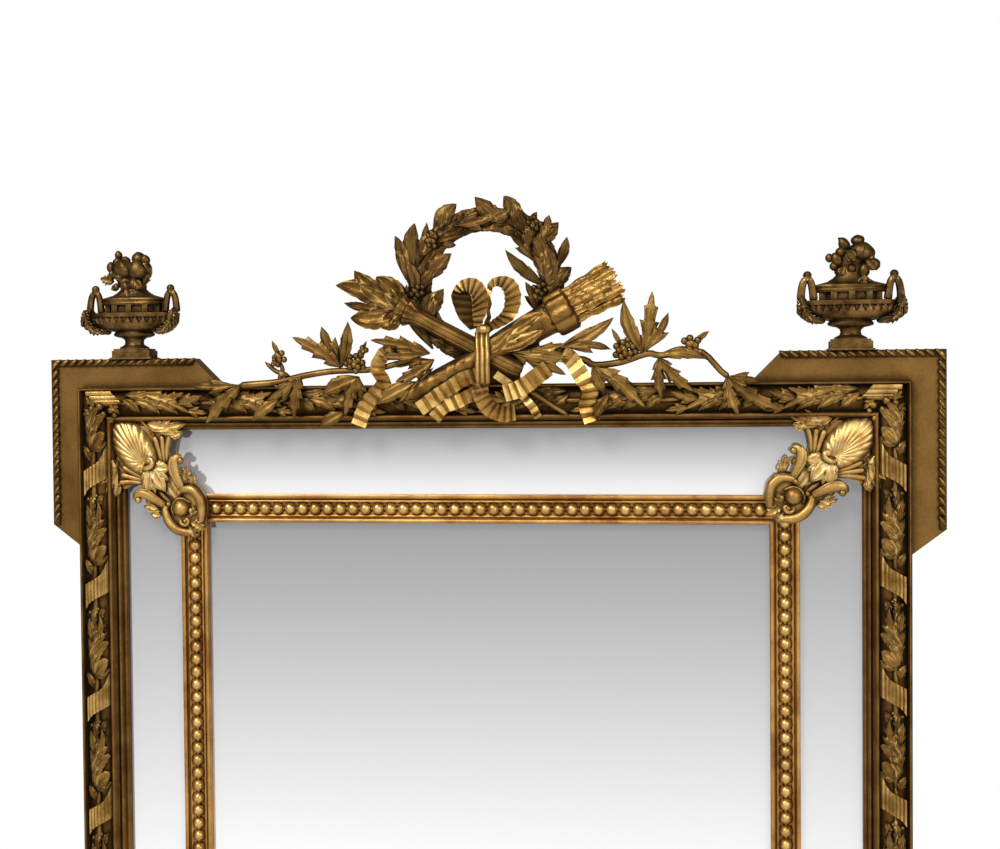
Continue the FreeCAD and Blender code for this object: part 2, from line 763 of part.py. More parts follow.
pegs = {}
for side, sign in (("left", -1), ("right", 1)):
    centre_x = sign * (half_width - SIZES["urn_inset"])
    carved = doc.addObject("Part::Feature", "urn_carved_" + side)
    carved.Shape = urn(centre_x)
    peg_sides = ("peg_width", "peg_width", "peg_reach * 2")
    peg_place = ("(frame_width / 2 - urn_inset) * %d - peg_width / 2" % sign,
                 "-(ear_back + ear_thick / 2 + peg_width / 2)",
                 "frame_height / 2 + ear_over_top - peg_reach")
    pegs[side] = box("urn_peg_" + side, peg_sides, peg_place)
    node("urn_" + side, cut("urn_" + side, carved, [pegs[side]]))
    carving("urn_bouquet_" + side, bouquet(centre_x, sign))
node("urn_pegs", group("urn_pegs", list(pegs.values())))

# ---------------------------------------------------------------- carved crest

# Layers of the crest from the wall forward: the batten stands on the rail, the wreath lies on the
# batten, and the trophy and sprays lie on the wreath and on the rail's front edge.
wreath_back = rail_front - SIZES["wreath_thick"]
wreath_centre = Vector(SIZES["crest_shift"], -wreath_back, half_height + SIZES["wreath_lift"])


def crest_spot(across, up):
    """A point of the crest's front layer, from the middle of the rail's top edge."""
    return Vector(across, -rail_front, half_height + up)


# The wreath's stem in section: across and forward; its leaf pairs: how far each tip reaches along
# the stem and away from it, on the outer and on the inner side.
STEM_SECTION = [(8, 0), (5, 9), (-5, 9), (-8, 0)]
STEM_SIDES = 20
LAUREL_TIPS = [(52, 24), (42, -28)]
LAUREL_PAIRS = 10
LAUREL_START, LAUREL_END = 172, 16


def wreath():
    """A laurel wreath: a round stem, with leaves in pairs growing up both sides to the top."""
    radius = SIZES["wreath_radius"]
    stem = []
    for step in range(STEM_SIDES):
        out = turned(Vector(0, 0, 1), 360 * step / STEM_SIDES)
        stem.append([wreath_centre + out * (radius + across) + FORWARD * rise
                     for across, rise in STEM_SECTION])
    parts = [skin(stem, closed=True)]
    for side in (-1, 1):
        for step in range(LAUREL_PAIRS):
            degrees = LAUREL_START + (LAUREL_END - LAUREL_START) * step / (LAUREL_PAIRS - 1)
            out = turned(Vector(0, 0, 1), -side * degrees)
            grow = turned(out, side * 90)
            root = wreath_centre + out * radius
            for reach, aside in LAUREL_TIPS:
                tip = root + grow * reach + out * aside
                parts.append(lobe(root, tip, SIZES["laurel_width"], SIZES["laurel_rise"]))
    return fused(parts)


# The torch's head, its stations from the cup down (distance, width, rise) and its flames' tips.
TORCH_HEAD = (-117, 116)
TORCH_STATIONS = [(0, 46, 16), (14, 34, 14), (20, 42, 19), (28, 28, 14), (130, 26, 13), (210, 24, 10)]
FLAME_ROOT = (-108, 110)
FLAME_TIPS = [(-210, 150), (-180, 172), (-142, 156), (-186, 97), (-146, 84)]
FLAME_WIDTH, FLAME_RISE = 30, 16


def torch():
    """A lit torch lying from the upper left to the lower right, its flames cut as leaves."""
    parts = [spindle(crest_spot(*TORCH_HEAD), -SIZES["trophy_turn"], TORCH_STATIONS)]
    for tip in FLAME_TIPS:
        parts.append(lobe(crest_spot(*FLAME_ROOT), crest_spot(*tip), FLAME_WIDTH, FLAME_RISE, 0.55))
    return fused(parts)


# The quiver's foot, its stations up to the collar (distance, width, rise), and the ragged block of
# arrow feathers beyond the collar (distance, aside).
QUIVER_FOOT = (-111, -22)
QUIVER_STATIONS = [(0, 8, 6), (24, 20, 12), (120, 34, 18), (250, 48, 21),
                   (256, 64, 25), (284, 66, 25), (291, 50, 21)]
FEATHERS = [(280, -22), (280, 22), (360, 31), (366, 21), (356, 12), (368, 2), (357, -9), (366, -20),
            (358, -31)]
FEATHERS_THICK = 18


def quiver():
    """A fluted quiver lying from the lower left to the upper right, with feathered arrows in its mouth."""
    foot = crest_spot(*QUIVER_FOOT)
    along = turned(Vector(1, 0, 0), SIZES["trophy_turn"])
    across = along.cross(FORWARD)
    ragged = [foot + along * distance + across * aside for distance, aside in FEATHERS]
    return fused([spindle(foot, SIZES["trophy_turn"], QUIVER_STATIONS), slab(ragged, FEATHERS_THICK)])


BOW_LOOPS = [
    [(10, 82), (-14, 92), (-30, 116), (-24, 144), (-4, 157), (14, 146), (19, 116), (14, 86)],
    [(18, 82), (24, 112), (28, 142), (47, 157), (66, 146), (71, 116), (56, 94), (24, 80)]]
KNOT_UP, KNOT_RADIUS = 76, 13


def bow():
    """Two upright ribbon loops on a knot."""
    knot = crest_spot(SIZES["crest_shift"], KNOT_UP)
    parts = [ball(knot + FORWARD * 8, KNOT_RADIUS, -rail_front)]
    for loop in BOW_LOOPS:
        outline = [crest_spot(across, up) for across, up in loop]
        middle = sum(outline, Vector()) * (1 / len(outline))
        rings = []
        for outer in outline:
            inner = outer + (middle - outer).normalize() * SIZES["bow_thick"]
            front = FORWARD * SIZES["bow_width"]
            rings.append([outer, outer + front, inner + front, inner])
        parts.append(skin(rings))
    return fused(parts)


RIBBON_ENDS = [
    [(-138, 42), (-144, 20), (-134, 2), (-152, -16), (-168, -36), (-175, -60)],
    [(140, 38), (158, 8), (168, -12), (165, -31), (172, -57)],
    [(-3, 13), (-50, -17), (-77, -41)],
    [(8, -4), (28, -38), (66, -13), (104, 18)],
]


def ribbons():
    """The loose ends of the ribbon, crimped, with the trophy's pieces cut out of them later."""
    crimp = (1, 5)
    return [strap([crest_spot(*bend) for bend in path], SIZES["end_width"], SIZES["ribbon_thick"], crimp)
            for path in RIBBON_ENDS]


# Sprays: the stem's bends, then root and tips of each leaf's lobes, then the berries.
SPRAYS = {
    "left": (
        [(-368, 2), (-301, 6), (-261, 15), (-220, 21), (-180, 24), (-100, 40)],
        [((-360, 2), [(-415, -57), (-433, 1)]),
         ((-281, 14), [(-322, 38)]),
         ((-267, 14), [(-276, -49), (-319, -23)]),
         ((-204, 27), [(-277, 73), (-232, 88), (-192, 96)]),
         ((-177, 14), [(-232, -14), (-197, -46), (-166, -24)]),
         ((-68, 44), [(-158, 67)]),
         ((-66, 38), [(-121, 3)])],
        [(-300, 18), (-300, 40), (-184, 33)]),
    "right": (
        [(110, 34), (173, 25), (214, 30), (253, 44), (331, 43), (357, 18), (372, 6)],
        [((54, 48), [(138, 58), (136, 12)]),
         ((140, 46), [(204, 94), (202, 48)]),
         ((250, 42), [(220, 120), (260, 133), (284, 101)]),
         ((270, 40), [(272, -25), (320, -15), (336, 30)]),
         ((173, 25), [(191, -15), (250, -38)]),
         ((364, 10), [(382, -48), (444, -42), (412, 0)])],
        [(220, 46), (316, 54)]),
}


def spray(side):
    """A running stem with lobed leaves and berries."""
    bends, leaves, berries = SPRAYS[side]
    wide = SIZES["stem_width"]
    parts = [strap([crest_spot(*bend) for bend in bends], wide, wide)]
    for root, tips in leaves:
        for tip in tips:
            parts.append(leaf(crest_spot(*root), crest_spot(*tip), SIZES["spray_rise"]))
    radius = SIZES["berry_radius"]
    for berry in berries:
        parts.append(ball(crest_spot(*berry) + FORWARD * (radius / 2), radius, -rail_front))
    return fused(parts)


carving("crest_wreath", wreath())
torch_shape = torch()
quiver_shape = quiver().cut(torch_shape)
carving("crest_torch", torch_shape)
carving("crest_quiver", quiver_shape)
trophy = [torch_shape, quiver_shape]
binding_run = [crest_spot(SIZES["crest_shift"] - 2, up) for up in (2, 14, 40, 62, 74)]
binding_lifts = (0, 12, 20, 16, 4)
binding = strap(binding_run, SIZES["binding_width"], 8, binding_lifts).cut(trophy)
carving("crest_binding", binding)
bow_shape = bow().cut(trophy + [binding])
carving("crest_bow", bow_shape)
ribbon_shape = fused(ribbons()).cut(trophy + [binding])
carving("crest_ribbons", ribbon_shape)
for side in SPRAYS:
    carving("crest_spray_" + side, spray(side).cut(trophy + [binding, bow_shape, ribbon_shape]))

batten_back = "wreath_thick - pine_thick - rail_depth"
batten = box("crest_batten_board", ("batten_width", "batten_thick", "batten_height"),
             ("crest_shift - batten_width / 2", batten_back, "frame_height / 2"))

# ---------------------------------------------------------------- loose tenons, and the pieces they join

tenons = {}
for side, sign in (("left", -1), ("right", 1)):
    tenons["top_" + side] = box(
        "tenon_top_" + side, ("tenon_length", "tenon_thick", "tenon_reach * 2"),
        ("(frame_width / 2 - tenon_inset) * %d - tenon_length / 2" % sign,
         "-(ear_back + tenon_thick * 1.5)", "frame_height / 2 - tenon_reach"))
    tenons["side_" + side] = box(
        "tenon_side_" + side, ("tenon_reach * 2", "tenon_thick", "tenon_length"),
        ("frame_width / 2 * %d - tenon_reach" % sign, "-(ear_back + tenon_thick * 1.5)",
         "frame_height / 2 - tenon_inset - tenon_length / 2"))
    tenons["crest_" + side] = box(
        "tenon_crest_" + side, ("tenon_length / 3", "tenon_thick", "tenon_reach * 2"),
        ("crest_shift + (batten_width / 2 - tenon_length / 3) * %d - tenon_length / 6" % sign,
         batten_back + " + (batten_thick - tenon_thick) / 2",
         "frame_height / 2 - tenon_reach"))
node("loose_tenons", group("loose_tenons", list(tenons.values())))
crest_tenons = [tenons["crest_left"], tenons["crest_right"]]
node("crest_batten", cut("crest_batten", batten, crest_tenons))
node("moulding_top", cut("moulding_top", mouldings["top"], crest_tenons))
for side in ("bottom", "left", "right"):
    node("moulding_" + side, mouldings[side])
node("top_rail", cut("top_rail", pine["top"], [tenons["top_left"], tenons["top_right"]]))
node("bottom_rail", pine["bottom"])
for side in ("left", "right"):
    pegged = [tenons["top_" + side], tenons["side_" + side], pegs[side]]
    node("ear_" + side, cut("ear_" + side, ears[side], pegged))

# ---------------------------------------------------------------- hangers, each with a swinging ring

BACKWARD_TURN = FreeCAD.Rotation(Vector(1, 0, 0), 90)
ALONG_TURN = FreeCAD.Rotation(Vector(0, 1, 0), 90)


# Corners of a ring from the middle of its bar: shares of its half width and of its drop.
RING_CORNERS = [(0, 0), (1, 0), (1, 0.45), (0.6, 1), (-0.6, 1), (-1, 0.45), (-1, 0), (0, 0)]
WIRE_SIDES = 12


def ring(centre_x):
    """A D-shaped ring of wire, its bar on the hinge axis and its bow hanging down."""
    half_wide, drop = SIZES["ring_width"] / 2, SIZES["ring_drop"]
    centre = Vector(centre_x, -SIZES["ring_axis_depth"], SIZES["hanger_lift"])
    path = Part.makePolygon([centre + Vector(half_wide * across, 0, -drop * down)
                             for across, down in RING_CORNERS])
    radius = SIZES["ring_wire"] / 2
    around = [2 * math.pi * step / WIRE_SIDES for step in range(WIRE_SIDES)]
    section = [centre + Vector(0, radius * math.cos(turn), radius * math.sin(turn)) for turn in around]
    mitred_corners = 1
    return path.makePipeShell([Part.makePolygon(section + section[:1])], True, False, mitred_corners)


screws = []
for side, sign in (("left", -1), ("right", 1)):
    centre_x = "(frame_width - stile_width) / 2 * %d" % sign
    strap_front = "-(recess_depth - hanger_thick)"
    recess = box("hanger_recess_" + side, ("recess_width", "recess_depth", "recess_length"),
                 (centre_x + " - recess_width / 2", "-recess_depth",
                  "hanger_lift + recess_rise - recess_length"))
    strap_plate = box("hanger_strap_" + side, ("hanger_width", "hanger_thick", "hanger_length"),
                      (centre_x + " - hanger_width / 2", "-recess_depth", "hanger_lift - hanger_length"))
    knuckle = rod("hanger_knuckle_" + side, "ring_wire / 2 + ring_play + knuckle_wall", "knuckle_length",
                  (centre_x + " - knuckle_length / 2", "-ring_axis_depth", "hanger_lift"), ALONG_TURN)
    bore = doc.addObject("Part::Cylinder", "hanger_bore_" + side)
    bore.setExpression("Radius", formula("ring_wire / 2 + ring_play"))
    bore.setExpression("Height", formula("knuckle_length * 2"))
    bore.Placement.Rotation = ALONG_TURN
    move(bore, centre_x + " - knuckle_length", "-ring_axis_depth", "hanger_lift")
    holes = []
    for place in (0, 1):
        lift = "hanger_lift - hanger_length + screw_inset + screw_spacing * %d" % place
        screw_name = "%s_%d" % (side, place + 1)
        shank = rod("screw_shank_" + screw_name, "screw_width / 2", "screw_length",
                    (centre_x, strap_front, lift), BACKWARD_TURN)
        head = rod("screw_head_" + screw_name, "screw_head_width / 2", "screw_head_thick",
                   (centre_x, strap_front + " + screw_head_thick", lift), BACKWARD_TURN)
        screw = doc.addObject("Part::Fuse", "screw_" + screw_name)
        screw.Base, screw.Tool = shank, head
        screws.append(screw)
        holes.append(rod("screw_hole_" + screw_name, "screw_width / 2", "screw_length + hanger_thick",
                         (centre_x, strap_front + " + hanger_thick", lift), BACKWARD_TURN))
    hanger = doc.addObject("Part::Fuse", "hanger_blank_" + side)
    hanger.Base, hanger.Tool = strap_plate, knuckle
    node("hanger_" + side, cut("hanger_" + side, hanger, [bore] + holes))
    node("stile_" + side, cut("stile_" + side, pine[side], [tenons["side_" + side], recess] + holes))
    carving("ring_" + side, ring(sign * (SIZES["frame_width"] - SIZES["stile_width"]) / 2))
node("hanger_screws", group("hanger_screws", screws))

# ---------------------------------------------------------------- checks and export

doc.recompute()
for thing in doc.Objects:
    if "Invalid" in thing.State or "Error" in thing.State:
        raise RuntimeError("%s: %s" % (thing.Label, thing.State))
os.makedirs("parts", exist_ok=True)
for thing in nodes:
    if thing.Shape.isNull() or not thing.Shape.isValid():
        raise RuntimeError(thing.Label + " has no valid shape")
    thing.Shape.exportStep("parts/%s.step" % thing.Label)
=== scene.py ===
"""Trumeau mirror: the visual model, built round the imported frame."""

import math

import bmesh
import bpy
from mathutils import Euler, Matrix, Vector


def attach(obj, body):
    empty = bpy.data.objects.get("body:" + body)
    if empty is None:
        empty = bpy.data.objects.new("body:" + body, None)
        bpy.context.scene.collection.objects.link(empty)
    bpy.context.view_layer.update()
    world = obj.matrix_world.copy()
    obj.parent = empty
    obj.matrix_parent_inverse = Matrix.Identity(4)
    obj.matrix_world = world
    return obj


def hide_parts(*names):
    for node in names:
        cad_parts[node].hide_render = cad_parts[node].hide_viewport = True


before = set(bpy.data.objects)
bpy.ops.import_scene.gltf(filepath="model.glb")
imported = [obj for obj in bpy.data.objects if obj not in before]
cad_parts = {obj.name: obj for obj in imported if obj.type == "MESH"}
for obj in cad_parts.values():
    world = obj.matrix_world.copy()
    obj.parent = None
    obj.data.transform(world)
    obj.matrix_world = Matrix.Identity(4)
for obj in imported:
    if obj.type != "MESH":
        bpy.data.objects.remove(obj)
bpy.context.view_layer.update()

# ---------------- pine ground
# The hidden carcase: a flat frame of planed pine with two thin backboards nailed in its rebate,
# tenons for the ears and pegs for the urns. Old pine gone brown, with its grain along each length.

MM = 0.001


def linear(hex_colour):
    """An sRGB hex colour as the linear values that a shader takes."""
    parts = [int(hex_colour[place:place + 2], 16) / 255 for place in (1, 3, 5)]
    return [part / 12.92 if part <= 0.04045 else ((part + 0.055) / 1.055) ** 2.4 for part in parts] + [1.0]


def plug(tree, node, links):
    """Links or sets a node's inputs, each by its name or, after an underscore, its number."""
    for name, value in links.items():
        place = int(name[1:]) if name[0] == "_" else name.replace("_", " ")
        if isinstance(value, bpy.types.NodeSocket):
            tree.links.new(value, node.inputs[place])
        else:
            node.inputs[place].default_value = linear(value) if isinstance(value, str) else value


def add(tree, kind, out, settings=None, **links):
    """Adds a shader node with its settings and inputs, and gives the output asked for."""
    added = tree.nodes.new("ShaderNode" + kind)
    for name, value in (settings or {}).items():
        setattr(added, name, value)
    plug(tree, added, links)
    return added.outputs[out]


def blend(tree, kind, share, first, second):
    """Mixes two colours by a share."""
    settings = {"data_type": "RGBA", "blend_type": kind, "clamp_factor": True}
    return add(tree, "Mix", 2, settings, _0=share, _6=first, _7=second)


def ramp(tree, value, *stops):
    """A colour ramp from places and hex colours or grey levels."""
    band = tree.nodes.new("ShaderNodeValToRGB")
    plug(tree, band, {"Fac": value})
    marks = band.color_ramp.elements
    while len(marks) < len(stops):
        marks.new(0.5)
    for mark, (place, colour) in zip(marks, stops):
        mark.position = place
        mark.color = linear(colour) if isinstance(colour, str) else [colour] * 3 + [1]
    return band.outputs["Color"]


def noise(tree, place, scale, detail, roughness=0.5):
    """Cloudy noise; scale is in patches to the metre."""
    return add(tree, "TexNoise", "Fac", Vector=place, Scale=scale, Detail=detail, Roughness=roughness)


def relief(tree, height, strength, depth, **links):
    """A bump with its depth in millimetres."""
    return add(tree, "Bump", "Normal", Strength=strength, Distance=depth * MM, Height=height, **links)


def start_material(name):
    """A new material, its node tree and its Object coordinates."""
    material = bpy.data.materials.new(name)
    material.use_nodes = True
    return material, material.node_tree, add(material.node_tree, "TexCoord", "Object")


def dress(tree, **links):
    """Links or sets the inputs of a material's shader."""
    plug(tree, tree.nodes["Principled BSDF"], links)


def planed_pine(name, grain):
    """Planed pine: dull brown with darker late wood in fine lines that run along the grain axis."""
    material, tree, place = start_material(name)
    stretch = [90.0, 90.0, 90.0]
    stretch["XYZ".index(grain)] = 3.0
    lines = noise(tree, add(tree, "Mapping", "Vector", Vector=place, Scale=stretch), 1.6, 5.0, 0.6)
    wood = ramp(tree, lines, (0.32, "#6E4E30"), (0.52, "#9A7348"), (0.7, "#B08A5A"))
    dust = ramp(tree, noise(tree, place, 7.0, 3.0), (0.35, 0.62), (0.65, 1.0))
    dress(tree, Base_Color=blend(tree, "MULTIPLY", 0.8, wood, dust), Roughness=0.75,
          Normal=relief(tree, lines, 0.4, 0.6))
    return material


def coat(node, material):
    """Gives a CAD node a better material."""
    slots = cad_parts[node].data.materials
    slots.clear()
    slots.append(material)


upright_pine = planed_pine("planed_pine_upright", "Z")
level_pine = planed_pine("planed_pine_level", "X")
for part in ("stile_left", "stile_right", "backboard_upper", "backboard_lower", "urn_pegs"):
    coat(part, upright_pine)
for part in ("top_rail", "bottom_rail", "middle_rail", "loose_tenons"):
    coat(part, level_pine)

# ---------------- brass hangers
# Two brass wire rings in folded brass straps, each held by two steel screws on the back of a stile.
# Rolled brass gone dull brown, with fine scratches; plain steel screws.


def worn_metal(name, bright, dull, roughness):
    """Bare metal with 12 mm patches of tarnish and fine scratches."""
    material, tree, place = start_material(name)
    patches = noise(tree, place, 80.0, 4.0)
    dress(tree, Base_Color=ramp(tree, patches, (0.35, dull), (0.62, bright)), Metallic=1.0,
          Roughness=ramp(tree, patches, (0.3, roughness + 0.2), (0.7, roughness)),
          Normal=relief(tree, noise(tree, place, 900.0, 2.0), 0.25, 0.2))
    return material


rolled_brass = worn_metal("rolled_brass", "#B8975A", "#7C6237", 0.3)
screw_steel = worn_metal("turned_steel", "#9A9A9C", "#6C6A68", 0.35)
for part in ("hanger_left", "hanger_right", "ring_left", "ring_right"):
    coat(part, rolled_brass)
coat("hanger_screws", screw_steel)

# ---------------- mirror plates
# Five flat plates of silvered glass: one in the middle and four mitred round it. Each has a painted
# reflection in its colour, grey at its upper edge and white at its lower, as the room it shows is
# brighter towards the floor.


def silvered_glass(name, low, high):
    """Silvered plate glass with a painted reflection over a height in metres, clear grey at the top and
    nearly white below.
    """
    material, tree, place = start_material(name)
    height = add(tree, "SeparateXYZ", "Z", Vector=place)
    level = add(tree, "MapRange", "Result", Value=height, From_Min=low, From_Max=high)
    painted_reflection = ramp(tree, level, (0.0, "#FEFEFE"), (0.25, "#E9E9EA"), (0.5, "#D2D2D3"), (0.75, "#B9B9BA"),
                (1.0, "#A0A0A1"))
    dress(tree, Base_Color=painted_reflection, Metallic=0.55, Roughness=0.03,
          Normal=relief(tree, noise(tree, place, 6.0, 1.0), 0.03, 1.0))
    return material


# Where each plate's painted reflection turns from white to grey, in metres up from the frame's middle.
PLATE_FADES = {"centre": (0.18, 0.686), "top": (0.725, 0.829), "bottom": (-0.829, -0.725),
               "left": (0.15, 0.74), "right": (0.15, 0.74)}
for part, fade in PLATE_FADES.items():
    coat("plate_" + part, silvered_glass("silvered_plate_" + part, *fade))

# ---------------- rail mouldings
# Four lengths of run pine moulding, mitred, gessoed and gilded: an outer fillet, a hollow band for
# the garland, an astragal and reeds down to the sight edge. Worn gold leaf, red clay at the edges.

HALF_WIDTH, HALF_HEIGHT = 625, 895
PINE_FRONT = -22


def gilding(name, light, dark, patch=45.0, sheen=0.34, hollow=14.0, high="#D9B36A"):
    """Water gilding: leaf in worn patches, red bole where rubbed, painted shade of dark umber in the
    hollows by ambient occlusion, and painted highlights along the convex edges.

    patch, the size of the worn patches, and hollow, the reach of the painted shade, are in millimetres;
    high is the colour of the painted highlights.
    """
    material, tree, place = start_material(name)
    tones = noise(tree, place, 1 / (patch * MM), 5.0, 0.65)
    grain = noise(tree, place, 420.0, 4.0, 0.7)
    rubs = noise(tree, place, 95.0, 6.0, 0.75)
    # Ambient occlusion over hollow millimetres: where it is low, shade is painted into the colour below.
    openness = add(tree, "AmbientOcclusion", "AO", {"samples": 6}, Distance=hollow * MM)
    # Ambient occlusion from inside, low along convex edges: there a highlight is painted below.
    edges = add(tree, "AmbientOcclusion", "AO", {"samples": 6, "inside": True, "only_local": True},
                Distance=0.9 * MM)
    gold = ramp(tree, tones, (0.36, dark), (0.62, light))
    gold = blend(tree, "MIX", ramp(tree, rubs, (0.60, 0.0), (0.72, 0.55)), gold, "#6E4022")
    gold = blend(tree, "MULTIPLY", 0.5, gold, ramp(tree, grain, (0.3, 0.7), (0.6, 1.0)))
    # Painted highlight: the high colour blended over the convex edges.
    gold = blend(tree, "MIX", ramp(tree, edges, (0.30, 0.7), (0.75, 0.0)), gold, high)
    # Painted shade: depth blends the dark umber #170D05 over the gold in the hollows.
    depth = ramp(tree, openness, (0.34, 0.0), (0.60, 0.40), (0.90, 1.0))
    polish = ramp(tree, grain, (0.3, sheen + 0.16), (0.65, sheen))
    dress(tree, Base_Color=blend(tree, "MIX", depth, "#170D05", gold),
          Metallic=ramp(tree, openness, (0.25, 0.35), (0.6, 1.0)),
          Roughness=blend(tree, "MIX", depth, [0.8, 0.8, 0.8, 1], polish),
          Normal=relief(tree, rubs, 0.35, 1.2, Normal=relief(tree, grain, 0.5, 0.5)))
    return material


# In each gilding, high is the colour of its painted highlights and hollow the reach of its painted shade.
matt_gold = gilding("matt_water_gilding", "#8E6934", "#68461F", sheen=0.42, hollow=9.0, high="#BC9450")
carved_gold = gilding("carved_water_gilding", "#9A763D", "#664822", high="#D2AA62")
burnished_gold = gilding("burnished_gilding", "#E0B86E", "#A37838", patch=30.0, sheen=0.26, hollow=8.0,
                         high="#F2D798")
# A dark gilding for grounds that lie in shade behind the carving: painted shade.
painted_shade_ground = gilding("painted_shade_ground", "#76532A", "#432C14", sheen=0.5, hollow=7.0, high="#86622F")


def place_object(name, data):
    """Puts data in the scene as an object."""
    placed = bpy.data.objects.new(name, data)
    bpy.context.scene.collection.objects.link(placed)
    return placed


def finish_piece(name, bm, material, *nodes, angle=None):
    """Closes a mesh drawn in millimetres and hangs it on the frame in the place of its blanks."""
    bmesh.ops.remove_doubles(bm, verts=bm.verts, dist=0.02)
    bmesh.ops.dissolve_degenerate(bm, dist=0.01, edges=bm.edges)
    bmesh.ops.recalc_face_normals(bm, faces=bm.faces)
    bmesh.ops.scale(bm, vec=(MM, MM, MM), verts=bm.verts)
    mesh = bpy.data.meshes.new(name)
    bm.to_mesh(mesh)
    bm.free()
    mesh.shade_smooth()
    if angle:
        mesh.set_sharp_from_angle(angle=math.radians(angle))
    mesh.materials.append(material)
    piece = place_object(name, mesh)
    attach(piece, "frame")
    if nodes:
        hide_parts(*nodes)


SIDE_WAYS = {"top": Vector((0, 0, -1)), "bottom": Vector((0, 0, 1)),
             "left": Vector((1, 0, 0)), "right": Vector((-1, 0, 0))}


def side_frame(side, inset=0.0, depth=0.0):
    """Sends (inwards, along, forwards) to a side of the frame; along runs up or to the right."""
    inward = SIDE_WAYS[side]
    run, reach = (Vector((1, 0, 0)), HALF_HEIGHT) if inward.z else (Vector((0, 0, 1)), HALF_WIDTH)
    start = inward * (inset - reach) + Vector((0, PINE_FRONT - depth, 0))
    return lambda across, along, out: start + inward * across + run * along + Vector((0, -out, 0))


def sheet_of(bm, along, across, place):
    """A grid bent to shape: place gives each point from its shares along, 0 to 1, and across, -1 to 1."""
    rows = [[bm.verts.new(place(row / along, column / across * 2 - 1)) for column in range(across + 1)]
            for row in range(along + 1)]
    for low, high in zip(rows, rows[1:]):
        for corners in zip(low, low[1:], high[1:], high):
            bm.faces.new(corners)
    return rows


def thick_sheet(bm, along, across, place, thick):
    """Such a grid, given a thickness."""
    before = len(bm.faces)
    sheet_of(bm, along, across, place)
    bm.faces.ensure_lookup_table()
    bmesh.ops.solidify(bm, geom=bm.faces[before:], thickness=thick)


def run_moulding(side, profile, inset, half):
    """A mitred length: the profile of (inwards, forwards) points drawn along a side between its mitres."""
    spot = side_frame(side, inset)
    bm = bmesh.new()
    last = len(profile)

    def place(share, across):
        inward, out = profile[round((across + 1) / 2 * last) % last]
        return spot(inward, (share * 2 - 1) * (half - inward), out)

    sheet_of(bm, 24, last, place)
    bmesh.ops.remove_doubles(bm, verts=bm.verts, dist=0.001)
    bmesh.ops.holes_fill(bm, edges=bm.edges, sides=0)
    return bm


RAIL_PROFILE = [
    (0, 0), (0, 36.5), (0.7, 38.8), (2.2, 40), (3.8, 39.8), (4.8, 38.4), (5, 30), (5.8, 29), (44, 29),
    (44.8, 30), (45, 32), (45.5, 33.8), (46.6, 34.8), (48, 35.2), (49.5, 34.8), (50.6, 33.6), (51, 31.5),
    (51.3, 28.5), (52, 27), (53.2, 25.2), (53.8, 22.6), (54.2, 20.4), (55, 21.8), (56.4, 22.8), (58, 22.4),
    (59.3, 21), (59.9, 18.6), (60.2, 15.6), (61, 14.4), (63, 14.6), (64.8, 13.8), (65.8, 12), (66, 9.4),
    (66, 4.3), (58, 4.3), (58, 0),
]
# A thin sheet over the floor of the band, gilded dark behind the garland: painted shade.
BAND_PROFILE = [(5.6, 28.6), (5.6, 29.8), (44.4, 29.8), (44.4, 28.6)]
for side, inward in SIDE_WAYS.items():
    half = HALF_WIDTH if inward.z else HALF_HEIGHT
    finish_piece("rail_moulding_" + side, run_moulding(side, RAIL_PROFILE, 0, half), matt_gold,
                 "moulding_" + side, angle=38)
    finish_piece("band_ground_" + side, run_moulding(side, BAND_PROFILE, 0, half), painted_shade_ground)
# The batten behind the crest takes the same dark gilding: painted shade behind the carving.
coat("crest_batten", painted_shade_ground)

# ---------------- slips and pearls
# The slips that cover the joints of the plates: a reed along each edge and a bead inside each, with
# a row of carved pearls down the middle and a small bead between each two.

SLIP_HALF = [
    (0, 4.3), (0, 12.6), (0.8, 14.3), (2.6, 15), (4.4, 14.8), (5.8, 13.6), (6.2, 11), (6.6, 9.4),
    (7.6, 9.0), (8.6, 10.4), (10.2, 11), (12, 10.4), (13.2, 8.6), (14.5, 8),
]
SLIP_WIDTH = 43
RAIL_WIDTH, MARGIN_SIDE, MARGIN_TOP = 66, 89, 100
SLIP_OTHER_HALF = [(SLIP_WIDTH - across, out) for across, out in reversed(SLIP_HALF)]
SLIP_PROFILE = [(8, 0), (8, 4.3), *SLIP_HALF, *SLIP_OTHER_HALF, (35, 4.3), (35, 0)]
# Half of a pearl, as (radius, forwards).
PEARL = [(0, 18.9), (2.8, 18.4), (5.6, 17), (7.8, 14.6), (9, 11.6), (9.3, 9.6), (8.8, 7.6)]
PEARL_PITCH = 19.7


def lump(bm, centre, radii, turn=0.0, cells=(10, 6)):
    """A berry, bud or strand: a ball stretched along its axes and turned in the front plane."""
    tilt = Matrix.Rotation(math.radians(-turn), 4, "Y")
    shape = Matrix.Translation(centre) @ tilt @ Matrix.Diagonal((*radii, 1))

    def place(share, across):
        rise, around = math.pi * share, math.pi * across
        return shape @ Vector((math.sin(rise) * math.cos(around), math.sin(rise) * math.sin(around),
                               math.cos(rise)))

    sheet_of(bm, cells[1], cells[0], place)


def turned(bm, profile, segments, centre):
    """A turned form from (radius, forwards) points, its axis towards the viewer."""
    last = len(profile) - 1

    def place(share, across):
        radius, height = profile[round(share * last)]
        turn = across * math.pi
        return centre + Vector((radius * math.cos(turn), -height, radius * math.sin(turn)))

    sheet_of(bm, last, segments, place)


